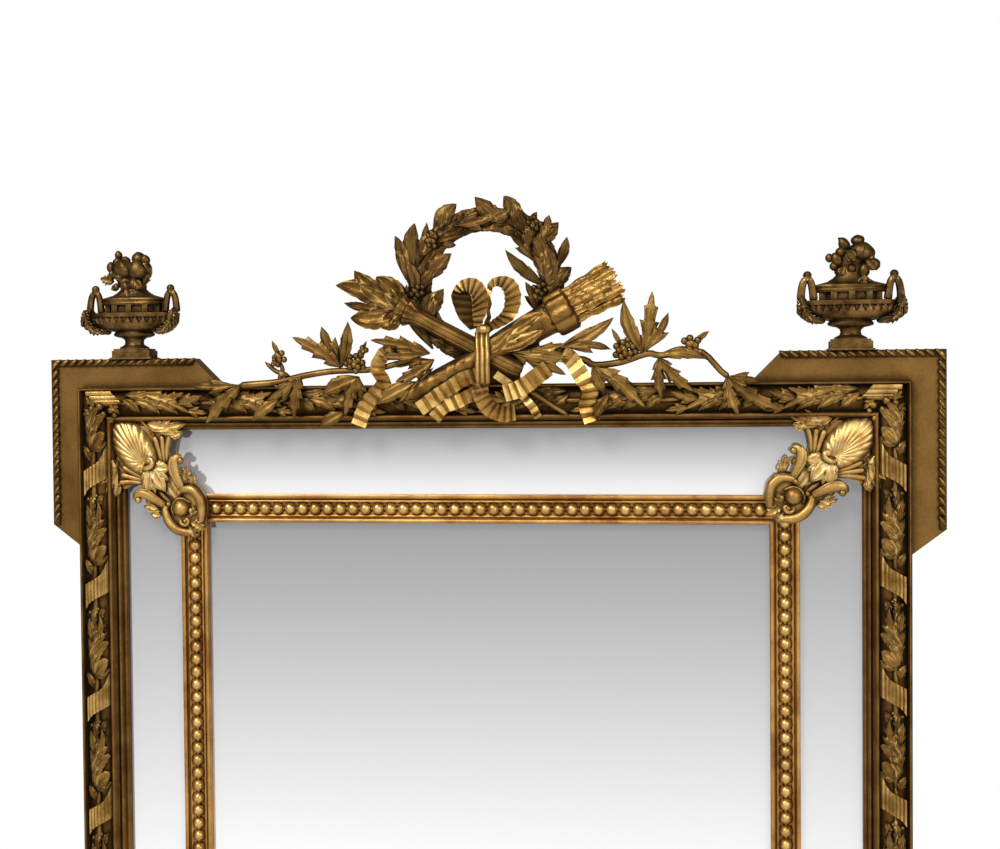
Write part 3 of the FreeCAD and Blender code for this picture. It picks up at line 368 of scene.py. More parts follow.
pearl_gold = gilding("pearl_gilding", "#E8C27A", "#B3884A", patch=40.0, sheen=0.28, hollow=3.5,
                     high="#F0D398")
slip_gold = gilding("slip_water_gilding", "#CFA058", "#9C6832", patch=60.0, sheen=0.38, hollow=3.5)
for side, inward in SIDE_WAYS.items():
    side_inset, top_inset = RAIL_WIDTH + MARGIN_SIDE, RAIL_WIDTH + MARGIN_TOP
    inset, half = (top_inset, HALF_WIDTH - side_inset) if inward.z else (side_inset, HALF_HEIGHT - top_inset)
    finish_piece("slip_run_" + side, run_moulding(side, SLIP_PROFILE, inset, half), slip_gold,
                 "slip_" + side, angle=38)
    row = bmesh.new()
    spot = side_frame(side, inset)
    count = int((half - 28.5) / PEARL_PITCH)
    for step in range(-count, count + 1):
        turned(row, PEARL, 16, spot(SLIP_WIDTH / 2, step * PEARL_PITCH, 0))
    for step in range(-count, count):
        lump(row, spot(SLIP_WIDTH / 2, (step + 0.5) * PEARL_PITCH, 10), (2, 2, 2), cells=(8, 6))
    finish_piece("pearl_row_" + side, row, pearl_gold, "pearls_" + side)

# ---------------- garlands
# Carved limewood set in the hollow band: a rod wound with oak sprigs and, down the sides, crossed by
# pleated ribbons at each pitch. Gilded like the rail, over a ground that is dark with painted shade.

# Leaf edges as shares of the leaf's length and of its half width, from stalk to tip.
OAK = [
    (0, 0.08), (0.07, 0.3), (0.17, 0.62), (0.30, 0.80), (0.27, 0.46), (0.38, 0.66), (0.53, 1.0),
    (0.51, 0.55), (0.61, 0.58), (0.76, 0.72), (0.77, 0.38), (0.91, 0.24), (1, 0),
]
VINE = [
    (0, 0.08), (0.10, 0.16), (0.22, 0.34), (0.36, 0.66), (0.50, 0.92), (0.66, 1.0), (0.62, 0.68),
    (0.60, 0.44), (0.70, 0.46), (0.80, 0.44), (0.89, 0.28), (0.95, 0.12), (1, 0),
]
OLIVE = [
    (0, 0.14), (0.12, 0.42), (0.25, 0.7), (0.38, 0.9), (0.50, 1.0), (0.60, 0.96), (0.66, 0.82), (0.75, 0.8),
    (0.82, 0.6), (0.9, 0.4), (0.96, 0.2), (1, 0),
]
BAY = [
    (0, 0.12), (0.10, 0.38), (0.22, 0.66), (0.34, 0.88), (0.46, 1.0), (0.50, 0.86), (0.61, 0.96),
    (0.70, 0.78), (0.76, 0.66), (0.84, 0.5), (0.91, 0.28), (0.97, 0.1), (1, 0),
]
LEAF_CELLS = 24
FRONT = Vector((0, -1, 0))


def part_way(stations, share):
    """The numbers at a share, 0 to 1, of the way down a list of stations."""
    spot = share * (len(stations) - 1)
    low = min(int(spot), len(stations) - 2)
    return [one + (two - one) * (spot - low) for one, two in zip(stations[low], stations[low + 1])]


def leaf(bm, root, tip, width, edge, crown=5.0, sweep=0.0, curl=0.0, bank=0.0, thick=2.4):
    """A carved leaf: its edge, a sunk midrib, puffed lobes, and a bend to the side and forwards."""
    run = tip - root
    length = run.length
    run = run.normalized()
    across_way = run.cross(FRONT).normalized()
    out_way = across_way.cross(run).normalized()

    def place(share, side):
        reach, half = part_way(edge, share)
        spread = abs(side)
        along = (share + (reach - share) * spread ** 1.3) * length
        aside = side * half * width / 2 + sweep * math.sin(math.pi * share) * length
        swell = math.sin(math.pi * min(1.0, 0.12 + share * 0.88)) ** 0.6
        rib = 0.52 * math.exp(-(spread / 0.22) ** 2) * (1 - share * 0.4)
        lobed = 0.25 * (half - 0.6) * spread
        fold = 0.10 * math.cos(share * 18 - spread * 5) * spread
        flute = 0.11 * math.cos(side * math.pi * 4) * min(1.0, share * 5)
        height = crown * swell * (1 - 0.62 * spread ** 2 - rib + lobed + fold + flute)
        height += curl * share ** 2.2 + bank * side * half * width / 2
        return root + run * along + across_way * aside + out_way * height

    rims = []
    for face in (place, lambda share, side: place(share, side * 0.94) - out_way * thick):
        rows = sheet_of(bm, LEAF_CELLS, 12, face)
        rims.append(rows[0] + [row[-1] for row in rows[1:]] + rows[-1][-2::-1]
                    + [row[0] for row in rows[-2:0:-1]])
    upper, lower = rims
    for here in range(len(upper)):
        bm.faces.new((upper[here - 1], upper[here], lower[here], lower[here - 1]))


def smooth_path(points, cuts):
    """Points rounded by a Catmull-Rom curve, cuts steps to each span."""
    ends = [points[0] * 2 - points[1]] + list(points) + [points[-1] * 2 - points[-2]]
    rounded = []
    for place in range(1, len(ends) - 2):
        one, two, three, four = ends[place - 1:place + 3]
        for step in range(cuts):
            share = step / cuts
            rounded.append(0.5 * (two * 2 + (three - one) * share
                                  + (one * 2 - two * 5 + three * 4 - four) * share ** 2
                                  + (two * 3 - one - three * 3 + four) * share ** 3))
    rounded.append(points[-1])
    return rounded


def stem(bm, points, radii, sides=8, cuts=6, flat=1.0):
    """A rounded twig or scroll along a path, its radius drawn out between the given radii."""
    path = smooth_path(points, cuts)
    last = len(path) - 1
    drawn = [(radius,) for radius in radii]

    def place(share, across):
        here = round(share * last)
        run = (path[min(here + 1, last)] - path[max(here - 1, 0)]).normalized()
        aside = run.cross(FRONT).normalized()
        out = aside.cross(run).normalized()
        radius = 0.01 if here in (0, last) else part_way(drawn, share)[0]
        turn = across * math.pi
        return path[here] + aside * radius * math.cos(turn) + out * radius * flat * math.sin(turn)

    sheet_of(bm, last, sides, place)


def pleated(bm, stations, pleats, depth, thick):
    """A crimped ribbon: stations are pairs of points on its two edges, and its pleats cross it."""
    left, right = (smooth_path([pair[edge] for pair in stations], 4) for edge in (0, 1))
    rows = pleats * 2
    last = len(left) - 1

    def between(path, share):
        spot = share * last
        low = min(int(spot), last - 1)
        return path[low].lerp(path[low + 1], spot - low)

    def place(share, side):
        one, two = between(left, share), between(right, share)
        ahead = between(left, min(1, share + 0.02)) + between(right, min(1, share + 0.02))
        behind = between(left, max(0, share - 0.02)) + between(right, max(0, share - 0.02))
        out = (two - one).cross(ahead - behind).normalized()
        return one.lerp(two, (side + 1) / 2) + out * (depth if round(share * rows) % 2 else -depth)

    thick_sheet(bm, rows, 4, place, thick)


# The band's outer edge, its floor over the pine, and the heights that its carving keeps between.
BAND_EDGE, BAND_FLOOR = 5, 29
BAND_FOOT, BAND_HEAD = -860, 872
SPRIG_LENGTH = 170
# One sprig of the side garland: stalk and tip as (across the band, up), width, edge, sweep and curl.
SIDE_SPRIG = [
    ((12, 38), (38, 64), 29, OLIVE, -0.10, 2), ((14, 35), (40, 49), 17, OLIVE, -0.04, 1),
    ((9, 46), (28, 78), 17, OLIVE, -0.06, 2), ((8, 62), (40, 90), 26, OLIVE, -0.14, 2),
    ((10, 62), (33, 104), 15, OLIVE, -0.12, 3), ((11, 68), (27, 131), 20, VINE, 0.10, 4),
    ((20, 96), (36, 118), 12, BAY, -0.10, 1), ((12, 54), (4, 96), 14, BAY, 0.10, 0),
    ((12, 88), (7, 126), 14, BAY, 0.05, 1), ((14, 20), (4, 44), 13, BAY, 0.05, 2),
    ((17, 112), (13, 140), 11, BAY, 0.05, 1), ((26, 120), (34, 142), 10, BAY, -0.10, 0),
]
SIDE_BUDS = [(19, 134, 3.6), (25, 131, 3.2), (22, 139, 3.0), (9, 134, 3.2), (30, 101, 3.4), (19, 142, 2.6)]
# The ribbons' pitch, and the height over the frame's middle of one that crosses each side.
RIBBON_PITCH = {"left": 176.0, "right": 160.0}
RIBBON_FIRST = {"left": 584.0, "right": 768.0}


def side_garland(side):
    """Rod, sprigs and slanting pleated ribbons in the band of an upright rail."""
    carving, ribbons = bmesh.new(), bmesh.new()
    spot = side_frame(side, BAND_EDGE, BAND_FLOOR)
    top, pitch, flip = RIBBON_FIRST[side], RIBBON_PITCH[side], SIDE_WAYS[side].x
    scale = pitch / SPRIG_LENGTH
    for number in range(40):
        lump(carving, spot(18, -868 + number * 44.5, 3.4), (4.6, 4.6, 25), cells=(8, 6))
    places = [top + pitch * step for step in range(-11, 3) if -850 < top + pitch * step < 840]
    for height in places:
        def wrap(share, edge, height=height):
            across = 0.5 + share * 39
            horn = 20 * max(0.0, share - 0.6) ** 2 / 0.16 * max(0.0, edge) ** 2
            tail = -10 * max(0.0, 0.35 - share) ** 2 / 0.12 * max(0.0, -edge) ** 2
            along = height + 16 * edge + 22 * (share - 0.5) + horn + tail
            crimp = 1.5 if round(share * 14) % 2 else -0.9
            swell = 8.2 * math.sin(math.pi * (0.06 + share * 0.88)) ** 0.8
            out = 2.2 + swell + crimp * (1 - 0.25 * abs(edge))
            return spot(across, along, out)

        thick_sheet(ribbons, 14, 6, wrap, 1.6)
    for low in [places[0] - pitch] + places:
        for root, tip, width, edge, sweep, curl in SIDE_SPRIG:
            start, end = low + root[1] * scale, low + tip[1] * scale
            if BAND_FOOT < min(start, end) and max(start, end) < BAND_HEAD:
                leaf(carving, spot(root[0], start, 2), spot(tip[0], end, 3 + curl), width, edge,
                     crown=7, sweep=sweep * flip, curl=curl, bank=0.16 * flip)
        for across, up, radius in SIDE_BUDS:
            if BAND_FOOT < low + up < BAND_HEAD:
                lump(carving, spot(across, low + up * scale, 4), (radius, radius, radius), cells=(8, 6))
    return carving, ribbons


for side in ("left", "right"):
    carving, ribbons = side_garland(side)
    finish_piece("garland_leaves_" + side, carving, carved_gold, "garland_" + side)
    finish_piece("garland_ribbons_" + side, ribbons, burnished_gold, angle=24)

# One swirl of the top garland, from the corner to the middle: stalk and tip as (along the rail, across
# the band), width, edge, sweep and curl.
TOP_SWIRL = [
    ((8, 6), (112, 35), 26, OAK, 0.10, 2), ((20, 14), (62, 37), 18, BAY, 0.14, 0),
    ((44, 18), (92, 38), 16, BAY, 0.12, 0), ((46, 12), (104, 4), 24, OAK, -0.10, 3),
    ((84, 20), (132, 8), 22, VINE, -0.06, 3), ((100, 30), (140, 36), 16, VINE, 0.0, 1),
    ((2, 12), (30, 34), 15, BAY, 0.06, 0), ((6, 6), (44, 3), 14, BAY, -0.06, 1),
]


def level_garland(side):
    """Swirled leaves that run from both corners to the middle of a level rail, over a rod."""
    carving = bmesh.new()
    spot = side_frame(side, BAND_EDGE, BAND_FLOOR)
    for number in range(28):
        lump(carving, spot(20, -580 + number * 43, 3.0), (25, 4.2, 4.2), cells=(8, 6))
    for way in (-1, 1):
        for step in range(4):
            start = 556 - 139 * step
            for root, tip, width, edge, sweep, curl in TOP_SWIRL:
                along, end = way * (start - root[0]), way * (start - tip[0])
                turn = way if side == "top" else -way
                leaf(carving, spot(root[1], along, 3), spot(tip[1], end, 4 + curl), width, edge, crown=6,
                     sweep=sweep * turn, curl=curl)
    # The corners: buds and a small leaf behind the ribbon's mitre.
    for way in (-1, 1):
        for across, along, radius in ((24, 590, 6.5), (30, 572, 5.5), (36, 584, 5), (27, 603, 5.5),
                                      (38, 566, 4.5)):
            lump(carving, spot(across, way * along, 5), (radius, radius, radius))
        for root, tip in (((24, 600), (8, 612)), ((30, 602), (38, 618)), ((20, 574), (36, 558))):
            leaf(carving, spot(root[0], way * root[1], 3), spot(tip[0], way * tip[1], 5), 14, VINE, crown=5)
    return carving


def corner_ribbons(side):
    """Three flat pleats, cut off aslant, at both ends of a level rail."""
    ribbons = bmesh.new()
    spot = side_frame(side, BAND_EDGE, BAND_FLOOR)
    for way in (-1, 1):
        for low, high, out in ((1, 8, 9.5), (8, 14.5, 8.5), (14.5, 20, 6)):
            def face(share, edge, low=low, high=high, out=out, way=way):
                across = low + (high - low) * share
                along = 592 + edge * 20 - across * 0.9 + (6 if edge > 0 else 0) * share
                return spot(across, way * along, out + 1.6 * math.sin(math.pi * share) - 2 * share)

            thick_sheet(ribbons, 4, 6, face, 3)
    return ribbons


for side in ("top", "bottom"):
    finish_piece("garland_leaves_" + side, level_garland(side), carved_gold, "garland_" + side)
    finish_piece("corner_ribbons_" + side, corner_ribbons(side), burnished_gold, angle=30)

# ---------------- ears and rope
# Flat pine boards tenoned to the frame's upper corners, gilded matt, trimmed along their top and
# outer edge with carved rope of slanting strands.

EAR_SIDE, EAR_TOP, EAR_FRONT = 675, 939, 40
EAR_TOP_ARM, EAR_SIDE_ARM = 230, 258
ROPE_WIDTH = 10
flat_gold = gilding("flat_water_gilding", "#846334", "#684B24", patch=90.0, sheen=0.46, high="#9C7840")
for part in ("ear_left", "ear_right"):
    coat(part, flat_gold)


def block(bm, centre, size):
    """A square block of wood."""
    bmesh.ops.create_cube(bm, size=1, matrix=Matrix.Translation(centre) @ Matrix.Diagonal((*size, 1)))


for side, way in (("left", -1), ("right", 1)):
    rope = bmesh.new()
    for strand in range(17):
        centre = Vector((way * (EAR_SIDE - 9 - strand * 13.6), -EAR_FRONT - 2.6, EAR_TOP - ROPE_WIDTH / 2))
        lump(rope, centre, (9.4, 3.9, 3.4), turn=-way * 34, cells=(8, 5))
    for strand in range(18):
        centre = Vector((way * (EAR_SIDE - 6), -EAR_FRONT - 2.6, EAR_TOP - 9 - strand * 13.9))
        lump(rope, centre, (9.4, 3.9, 3.4), turn=-way * 56, cells=(8, 5))
    for along, down, wide, high in ((EAR_TOP_ARM / 2, ROPE_WIDTH / 2, EAR_TOP_ARM, ROPE_WIDTH),
                                    (ROPE_WIDTH / 2, (EAR_SIDE_ARM + 9) / 2, ROPE_WIDTH, EAR_SIDE_ARM - 9)):
        block(rope, Vector((way * (EAR_SIDE - along), -EAR_FRONT - 1.2, EAR_TOP - down)), (wide, 2.4, high))
    finish_piece("rope_trim_" + side, rope, carved_gold, "rope_" + side)

# ---------------- corner cartouches and shells
# A web of carved limewood over each corner of the plates: leaf-edged scrolls round a
# cabochon, an oak leaf and side brackets; a ribbed scallop is set on it, out to the rail's corner.

CORNERS = {"top_left": (-1, 1), "top_right": (1, 1), "bottom_left": (-1, -1), "bottom_right": (1, -1)}
# No two were carved alike: the left pair is longer and hangs lower than the right pair.
STRETCH = {-1: (1.044, -0.052), 1: (0.956, 0.056)}


def corner_frame(side_x, side_z):
    """Sends (from rail corner to slip corner, across, forwards from the back) to a corner of the plates."""
    corner = Vector((side_x * (HALF_WIDTH - RAIL_WIDTH), 0, side_z * (HALF_HEIGHT - RAIL_WIDTH)))
    run = Vector((-side_x * MARGIN_SIDE, 0, -side_z * MARGIN_TOP)).normalized()
    aside = Vector((-side_x * MARGIN_TOP, 0, side_z * MARGIN_SIDE)).normalized()
    stretch, lean = STRETCH[side_x]
    return lambda along, across, out: \
        corner + run * along * stretch + aside * (across + along * lean) + Vector((0, -out, 0))


def scallop(spot):
    """A scallop: ribs fanned wide from its hinge, domed, with its rim turned down."""
    bm = bmesh.new()
    hinge, middle, half_long, half_wide = 61.0, 32.0, 49.0, 30.5
    ribs, reach = 15, math.radians(152)

    def place(share, across):
        turn = across * reach
        rim_along, rim_across = middle - half_long * math.cos(turn), half_wide * math.sin(turn) - 2
        along, aside = hinge + (rim_along - hinge) * share, -2 + (rim_across + 2) * share
        rib = abs(math.cos(across * ribs * math.pi / 2)) ** 0.7
        dome = 11 * math.sin(math.pi * min(1, share * 0.72 + 0.16)) ** 0.8
        out = 45 + dome + 1.5 * rib * min(1, share * 2.6) - 6 * share ** 5
        return spot(along, aside, out)

    thick_sheet(bm, 14, ribs * 6, place, 3)
    return bm


WEB_EDGE = [
    (-6, 2), (12, 24), (30, 48), (46, 66), (62, 74), (62, 50), (70, 37), (84, 30), (102, 21), (120, 22),
    (127, 34), (141, 41), (158, 39), (176, 29), (189, 10), (190, -8), (180, -23), (166, -34), (147, -36),
    (130, -33), (118, -30), (102, -22), (84, -26), (72, -37), (68, -54), (56, -64), (40, -50), (22, -30),
    (6, -16), (-6, -8),
]


def carved_web(spot):
    """The web's ground, its brackets up to the rail, the fluted neck, scrolls, ring and cabochon."""
    bm = bmesh.new()
    bm.faces.new([bm.verts.new(spot(along, across, 45)) for along, across in WEB_EDGE])
    walls = bmesh.ops.extrude_face_region(bm, geom=bm.faces[:])
    sunk = [part for part in walls["geom"] if isinstance(part, bmesh.types.BMVert)]
    bmesh.ops.translate(bm, vec=(0, 7, 0), verts=sunk)

    def scroll(points, radii, side=1, **shape):
        stem(bm, [spot(along, across * side, out) for along, across, out in points], radii, **shape)

    def petal(root, tip, width, edge, side=1, **shape):
        leaf(bm, spot(root[0], root[1] * side, root[2]), spot(tip[0], tip[1] * side, tip[2]), width, edge,
             **shape)

    # brackets: three ridges fanned up to the rail, under three leaves
    for side in (-1, 1):
        for foot, head in ((12, 37), (17, 47), (22, 59)):
            scroll([(84, foot, 46), (66, (foot + head) / 2 * 0.98, 47.5),
                    (46 + (foot - 17) * 1.5, head * 0.98, 47.5)], [2.6, 3.6, 4.2], side, flat=0.75)
        petal((30, 34, 49), (60, 88, 49), 26, VINE, side, crown=6, curl=-1)
        petal((44, 60, 50), (20, 40, 50), 20, BAY, side, curl=1)
        petal((56, 54, 49), (66, 74, 48), 14, BAY, side, crown=4)
    # the neck: a shield between three ridges
    for foot, head in ((9, 17), (0, 4), (-10, -14)):
        scroll([(100, head, 46), (114, (head + foot) / 2, 49), (134, foot, 47)], [2.2, 3.6, 3], flat=0.7)
    petal((134, 4, 46), (96, 12, 49), 24, BAY, crown=4, curl=1)
    # C-scrolls off the neck, hooked outwards, with leafy backs
    for side in (-1, 1):
        scroll([(131, 19, 49), (115, 23, 52), (101, 28, 53), (91, 35, 53), (88, 43, 52), (93, 49, 50)],
               [3.6, 6, 7.4, 7.6, 6.8, 5], side, flat=0.62)
        scroll([(128, 15, 50), (112, 19, 54), (97, 23, 55), (86, 32, 55), (83, 42, 54)],
               [1.4, 2, 2.4, 2.4, 1.8], side)
        lump(bm, spot(95, 46 * side, 53), (5.4, 5, 5.4))
        petal((128, 30, 46), (106, 48, 48), 17, VINE, side, sweep=-0.1 * side)
        petal((134, 33, 46), (122, 46, 48), 14, BAY, side, crown=4)
        petal((112, 33, 46), (101, 38, 47), 12, BAY, side, crown=4)
    # the ring: two bands from bulbs at the neck round to a leaf at the foot
    ring_radii = [4, 5.4, 7, 7.2, 6.4, 3.6]
    scroll([(128, 13, 50), (129, 20, 51), (138, 31, 52), (156, 32, 53), (172, 22, 53), (184, 8, 51)],
           ring_radii, flat=0.8)
    scroll([(130, -16, 50), (133, -23, 51), (148, -29, 52), (166, -27, 53), (179, -17, 52), (187, -3, 51)],
           ring_radii, flat=0.8)
    for along, across in ((128, 12), (130, -12)):
        lump(bm, spot(along, across, 52), (4.2, 4.2, 4.2))
    # the cabochon in its ring, with a curl and leaf bits below it
    turned(bm, [(0, 62), (4.5, 61.2), (8.8, 58.6), (11.8, 54.8), (13, 50.6), (13.4, 45)], 32,
           spot(147, -1, 0))
    scroll([(151.6, 16, 47), (137, 9, 49), (133, -1, 49), (137, -13, 49), (147, -17.5, 48)],
           [1.4, 2.2, 2.4, 2.2, 1.4])
    scroll([(158, -12, 50), (165, -15, 53), (171, -10, 54), (169, -3, 54), (163, -4, 54)],
           [2.2, 3, 3.2, 2.8, 2.4], flat=0.9)
    lump(bm, spot(165.5, -7.5, 54), (3.2, 3.2, 3.2))
    lump(bm, spot(160, 10, 53), (4.4, 4, 4.4))
    petal((168, 2, 51), (158, 20, 52), 13, VINE, crown=4)
    petal((172, 0, 52), (196, 8, 52), 20, OAK, curl=-1)
    petal((174, -6, 52), (194, -12, 51), 17, VINE)
    # the thin fillet that frames the shell, and the pearl in the corner
    turns = [2.2 * step / 10 for step in range(-10, 11)]
    scroll([(32 - 56 * math.cos(turn), 38 * math.sin(turn) - 2, 45.5) for turn in turns], [1.8, 2.2, 1.8],
           sides=6, cuts=2)
    turned(bm, [(0, 56), (3, 55.2), (4.6, 53), (5, 50), (5, 44)], 14, spot(-21, -2, 0))
    return bm


def leaf_cluster(spot):
    """The bright oak leaf at the shell's hinge: six lobes, a snail curl and buds."""
    bm = bmesh.new()
    for tip, width, crown in (((114, -3), 25, 8), ((98, -28), 24, 8), ((95, 26), 21, 7), ((78, -20), 14, 5),
                              ((106, -18), 15, 6), ((106, 12), 15, 6)):
        leaf(bm, spot(70, 3, 52), spot(*tip, 53), width, BAY, crown=crown, curl=1, thick=4)
    snail = ((66, -8, 58), (71, 0, 61), (72, 8, 61), (67, 13, 60), (62, 10, 60), (64, 6, 60))
    stem(bm, [spot(*point) for point in snail], [3, 4, 4.4, 4, 3.2, 2.6])
    for point, radii in (((66, 8.5, 60), (3.6, 3.2, 3.6)), ((78, 18, 55), (5, 4, 5)),
                         ((74, -12, 55), (5, 4, 5))):
        lump(bm, spot(*point), radii)
    return bm


web_gold = gilding("cartouche_gilding", "#CFA660", "#98703A", hollow=9.0, high="#EAC88A")
shell_gold = gilding("shell_gilding", "#EBC680", "#BE9350", patch=30.0, sheen=0.28, hollow=5.0,
                     high="#F4DCA4")
for corner, ways in CORNERS.items():
    spot = corner_frame(*ways)
    finish_piece("cartouche_carving_" + corner, carved_web(spot), web_gold, "cartouche_" + corner, angle=50)
    finish_piece("scallop_" + corner, scallop(spot), shell_gold, "shell_" + corner)
    finish_piece("shell_leaf_" + corner, leaf_cluster(spot), shell_gold)

# ---------------- urns
# Turned and carved oval urns pegged to the ears: a waisted foot on a square plinth, a bowl with a
# notched frieze and swags at its ends, a pierced neck, a lid and two looped handles.

urn_gold = gilding("toned_water_gilding", "#806136", "#452F18", patch=22.0, hollow=13.0, high="#D0AA6C")
URN_X, URN_DEPTH, PLINTH_TOP = 543, 30, 955
# Height over the plinth, half width, half thickness.
URN_SECTIONS = [
    (0, 0, 0), (0, 23, 15.5), (2, 23.5, 16), (4, 20, 14), (6, 16, 12), (10, 14.5, 11), (14, 15.5, 12),
    (17, 20, 14), (18, 26, 16), (20, 32, 18), (23, 33, 19), (26, 30, 18), (27, 34, 18.5), (28, 46, 21),
    (31, 60, 25), (36, 69, 27.2), (39, 71.5, 27.8), (40, 72, 28), (42, 72.4, 28), (44, 72.8, 28),
    (46, 73, 28), (48, 73, 28), (49, 73, 28), (50, 73.6, 28.2), (55, 73.4, 28), (56, 66, 26),
    (56.4, 44, 20), (58, 38, 18.5), (67, 37.5, 18), (67.6, 50, 22), (70, 53, 23), (72, 50, 22),
    (73, 49.5, 22), (76, 53, 23), (78, 52, 22.5), (80, 44, 20), (83, 33, 17), (88, 25, 15), (92, 21, 13),
    (96, 18, 12), (97, 0, 0),
]


def urn(centre_x):
    """Bowl, neck blocks, handles, swags and plinth of one urn."""
    bm = bmesh.new()
    last = len(URN_SECTIONS) - 1

    def at(across, out, up, side=1):
        return Vector((centre_x + across * side, -URN_DEPTH - out, PLINTH_TOP + up))

    def place(share, across):
        height, wide, thick = URN_SECTIONS[round(share * last)]
        turn = across * math.pi
        grow = 0.0
        if 39.5 < height < 48.5:
            # the frieze's V notches, each widest at the rim
            saw = abs((across * 18) % 1 - 0.5) * 2
            grow = -3.4 * max(0.0, min(1.0, ((height - 38) / 12 - saw) * 6))
        return at((wide + grow) * math.cos(turn), -(thick + grow) * math.sin(turn), height)

    sheet_of(bm, last, 264, place)
    # the pierced neck: blocks between bowl and lid
    for step in range(10):
        turn = math.radians(18 + step * 36)
        block(bm, at(42 * math.cos(turn), -19.5 * math.sin(turn), 62), (8, 5, 11))
    for side in (-1, 1):
        # handle: an upside-down U, broad at its feet, with a ball on its head
        for legs in ([(70, 54), (70, 66), (67, 82), (61, 90)], [(52, 54), (53, 66), (56, 82), (61, 90)]):
            stem(bm, [at(across, 3, up, side) for across, up in legs], [6.4, 5.8, 5.4, 4.4], cuts=3)
        stem(bm, [at(61, 3, 80, side), at(61, 3, 95, side)], [8, 5.4], cuts=3)
        lump(bm, at(61, 3, 93, side), (6.4, 6, 6))
        # swag of leaves wound round the end of the bowl, and under it towards the foot
        for step in range(9):
            degrees = 60 - step * 20
            turn = math.radians(degrees)
            reach = 66 + 6.5 * math.cos(turn) - (3.2 * max(0, step - 4)) ** 1.2
            rise, out = 43 + 16 * math.sin(turn), 10 + 8 * math.sin(math.radians(step * 22))
            for number, (shift, lift) in enumerate(((0, 0), (-4, -6), (3, 5))):
                swell = 6.8 - 0.8 * number
                lump(bm, at(reach + shift * 0.5, out + lift, rise + shift * 0.4, side),
                     (swell, swell, swell * 0.62), turn=side * (degrees + 60 + 30 * number))
        for root, tip, width in (((66, 30), (42, 24), 15), ((70, 44), (56, 26), 14),
                                 ((72, 60), (66, 40), 13)):
            leaf(bm, at(root[0], 22, root[1], side), at(tip[0], 25, tip[1], side), width, OAK, crown=4)
    # plinth with a stepped top
    for low, high, wide, thick in ((-16, -13.6, 66, 38), (-13.6, -3, 60, 35), (-3, 0, 55, 33)):
        block(bm, at(0, 0, (low + high) / 2), (wide, thick, high - low))
    return bm


def fruit(bm, centre, radii, ribs, turn):
    """A round fruit or bud, ribbed like a melon or folded like a rose."""
    tilt = Euler((math.radians(20), math.radians(-turn), 0)).to_matrix()

    def place(share, across):
        polar, around = share * math.pi, across * math.pi
        swell = 1 - 0.16 * abs(math.sin(around * ribs / 2)) ** 1.5
        reach = math.sin(polar) * swell
        local = Vector((reach * math.cos(around), reach * math.sin(around),
                        math.cos(polar) * (1 - 0.12 * math.sin(polar * 2) ** 2)))
        return centre + tilt @ (local * Vector(radii))

    sheet_of(bm, 12, 28, place)


# Fruit: across from the urn's middle, forwards, up over the plinth, radii, and any ribs and turn.
BOUQUETS = {
    "left": [
        (-12, 8, 123, (17, 15, 17), 5, 20), (8, 2, 120, (17, 15, 19)), (8, -2, 140, (11, 11, 11)),
        (20, 0, 126, (9, 8, 11), 0, 10), (-23, 2, 145, (6, 6, 8)), (-24, 4, 134, (8, 7, 8)),
        (-35, 2, 126, (8, 7, 10), 4, 0), (20, 2, 137, (8, 7, 9)), (-11, 4, 136, (8, 7, 8)),
        (-33, 4, 115, (6, 6, 8)), (-24, 10, 96, (5, 5, 6)), (-8, 12, 96, (9, 8, 9), 5, 0),
        (4, 4, 100, (12, 12, 12)), (-12, 2, 104, (13, 12, 12)), (-1, -2, 112, (25, 11, 23)),
        (2, 0, 96, (19, 12, 12)), (-19, 6, 110, (8, 7, 8))
    ],
    "right": [
        (16, 4, 125, (19, 16, 15), 16, -14), (10, 2, 142, (10, 9, 8), 0, 10),
        (-9, 6, 135, (8, 8, 12), 0, 35), (-19, 6, 114, (9, 9, 12), 0, 35), (-30, 4, 117, (6, 6, 7)),
        (-24, 4, 105, (6, 6, 7)), (1, 10, 101, (6.5, 6, 6.5)), (18, 12, 97, (8, 8, 11)),
        (34, 2, 108, (8, 8, 8)), (0, 0, 112, (19, 12, 17)), (8, 0, 100, (15, 11, 12)),
        (-6, 0, 98, (17, 11, 12)), (-13, 6, 125, (9, 8, 8)), (26, 4, 116, (8, 7, 8)),
        (18, -6, 104, (9, 8, 10))
    ],
}
# Leaves: stalk and tip in the same way, width and edge.
BOUQUET_LEAVES = {
    "left": [
        ((-30, 6, 104), (-52, 4, 110), 19, OAK), ((-6, 14, 94), (0, 16, 76), 17, BAY),
        ((18, 4, 98), (28, 4, 116), 14, VINE), ((20, 0, 104), (30, 0, 128), 12, BAY),
        ((-20, 6, 98), (-34, 6, 92), 12, BAY), ((-14, 12, 104), (-26, 12, 120), 13, OLIVE),
        ((6, 14, 106), (18, 14, 92), 14, OLIVE),
    ],
    "right": [
        ((6, 16, 110), (-8, 18, 126), 15, OLIVE), ((20, 16, 112), (34, 12, 98), 15, OLIVE),
        ((17, 14, 94), (18, 17, 74), 18, VINE), ((28, 2, 104), (42, 2, 104), 13, BAY),
        ((-10, 8, 104), (-14, 10, 90), 13, BAY), ((-2, 2, 134), (-18, 2, 146), 12, BAY),
    ],
}


def bouquet(side, centre_x):
    """The fruit, buds and leaves heaped on one urn."""
    bm = bmesh.new()

    def at(across, out, up):
        return Vector((centre_x + across, -URN_DEPTH - out, PLINTH_TOP + up))

    for across, out, up, radii, *shape in BOUQUETS[side]:
        fruit(bm, at(across, out, up), radii, *(shape or (0, 0)))
    for root, tip, width, edge in BOUQUET_LEAVES[side]:
        leaf(bm, at(*root), at(*tip), width, edge, crown=4, curl=2)
    return bm


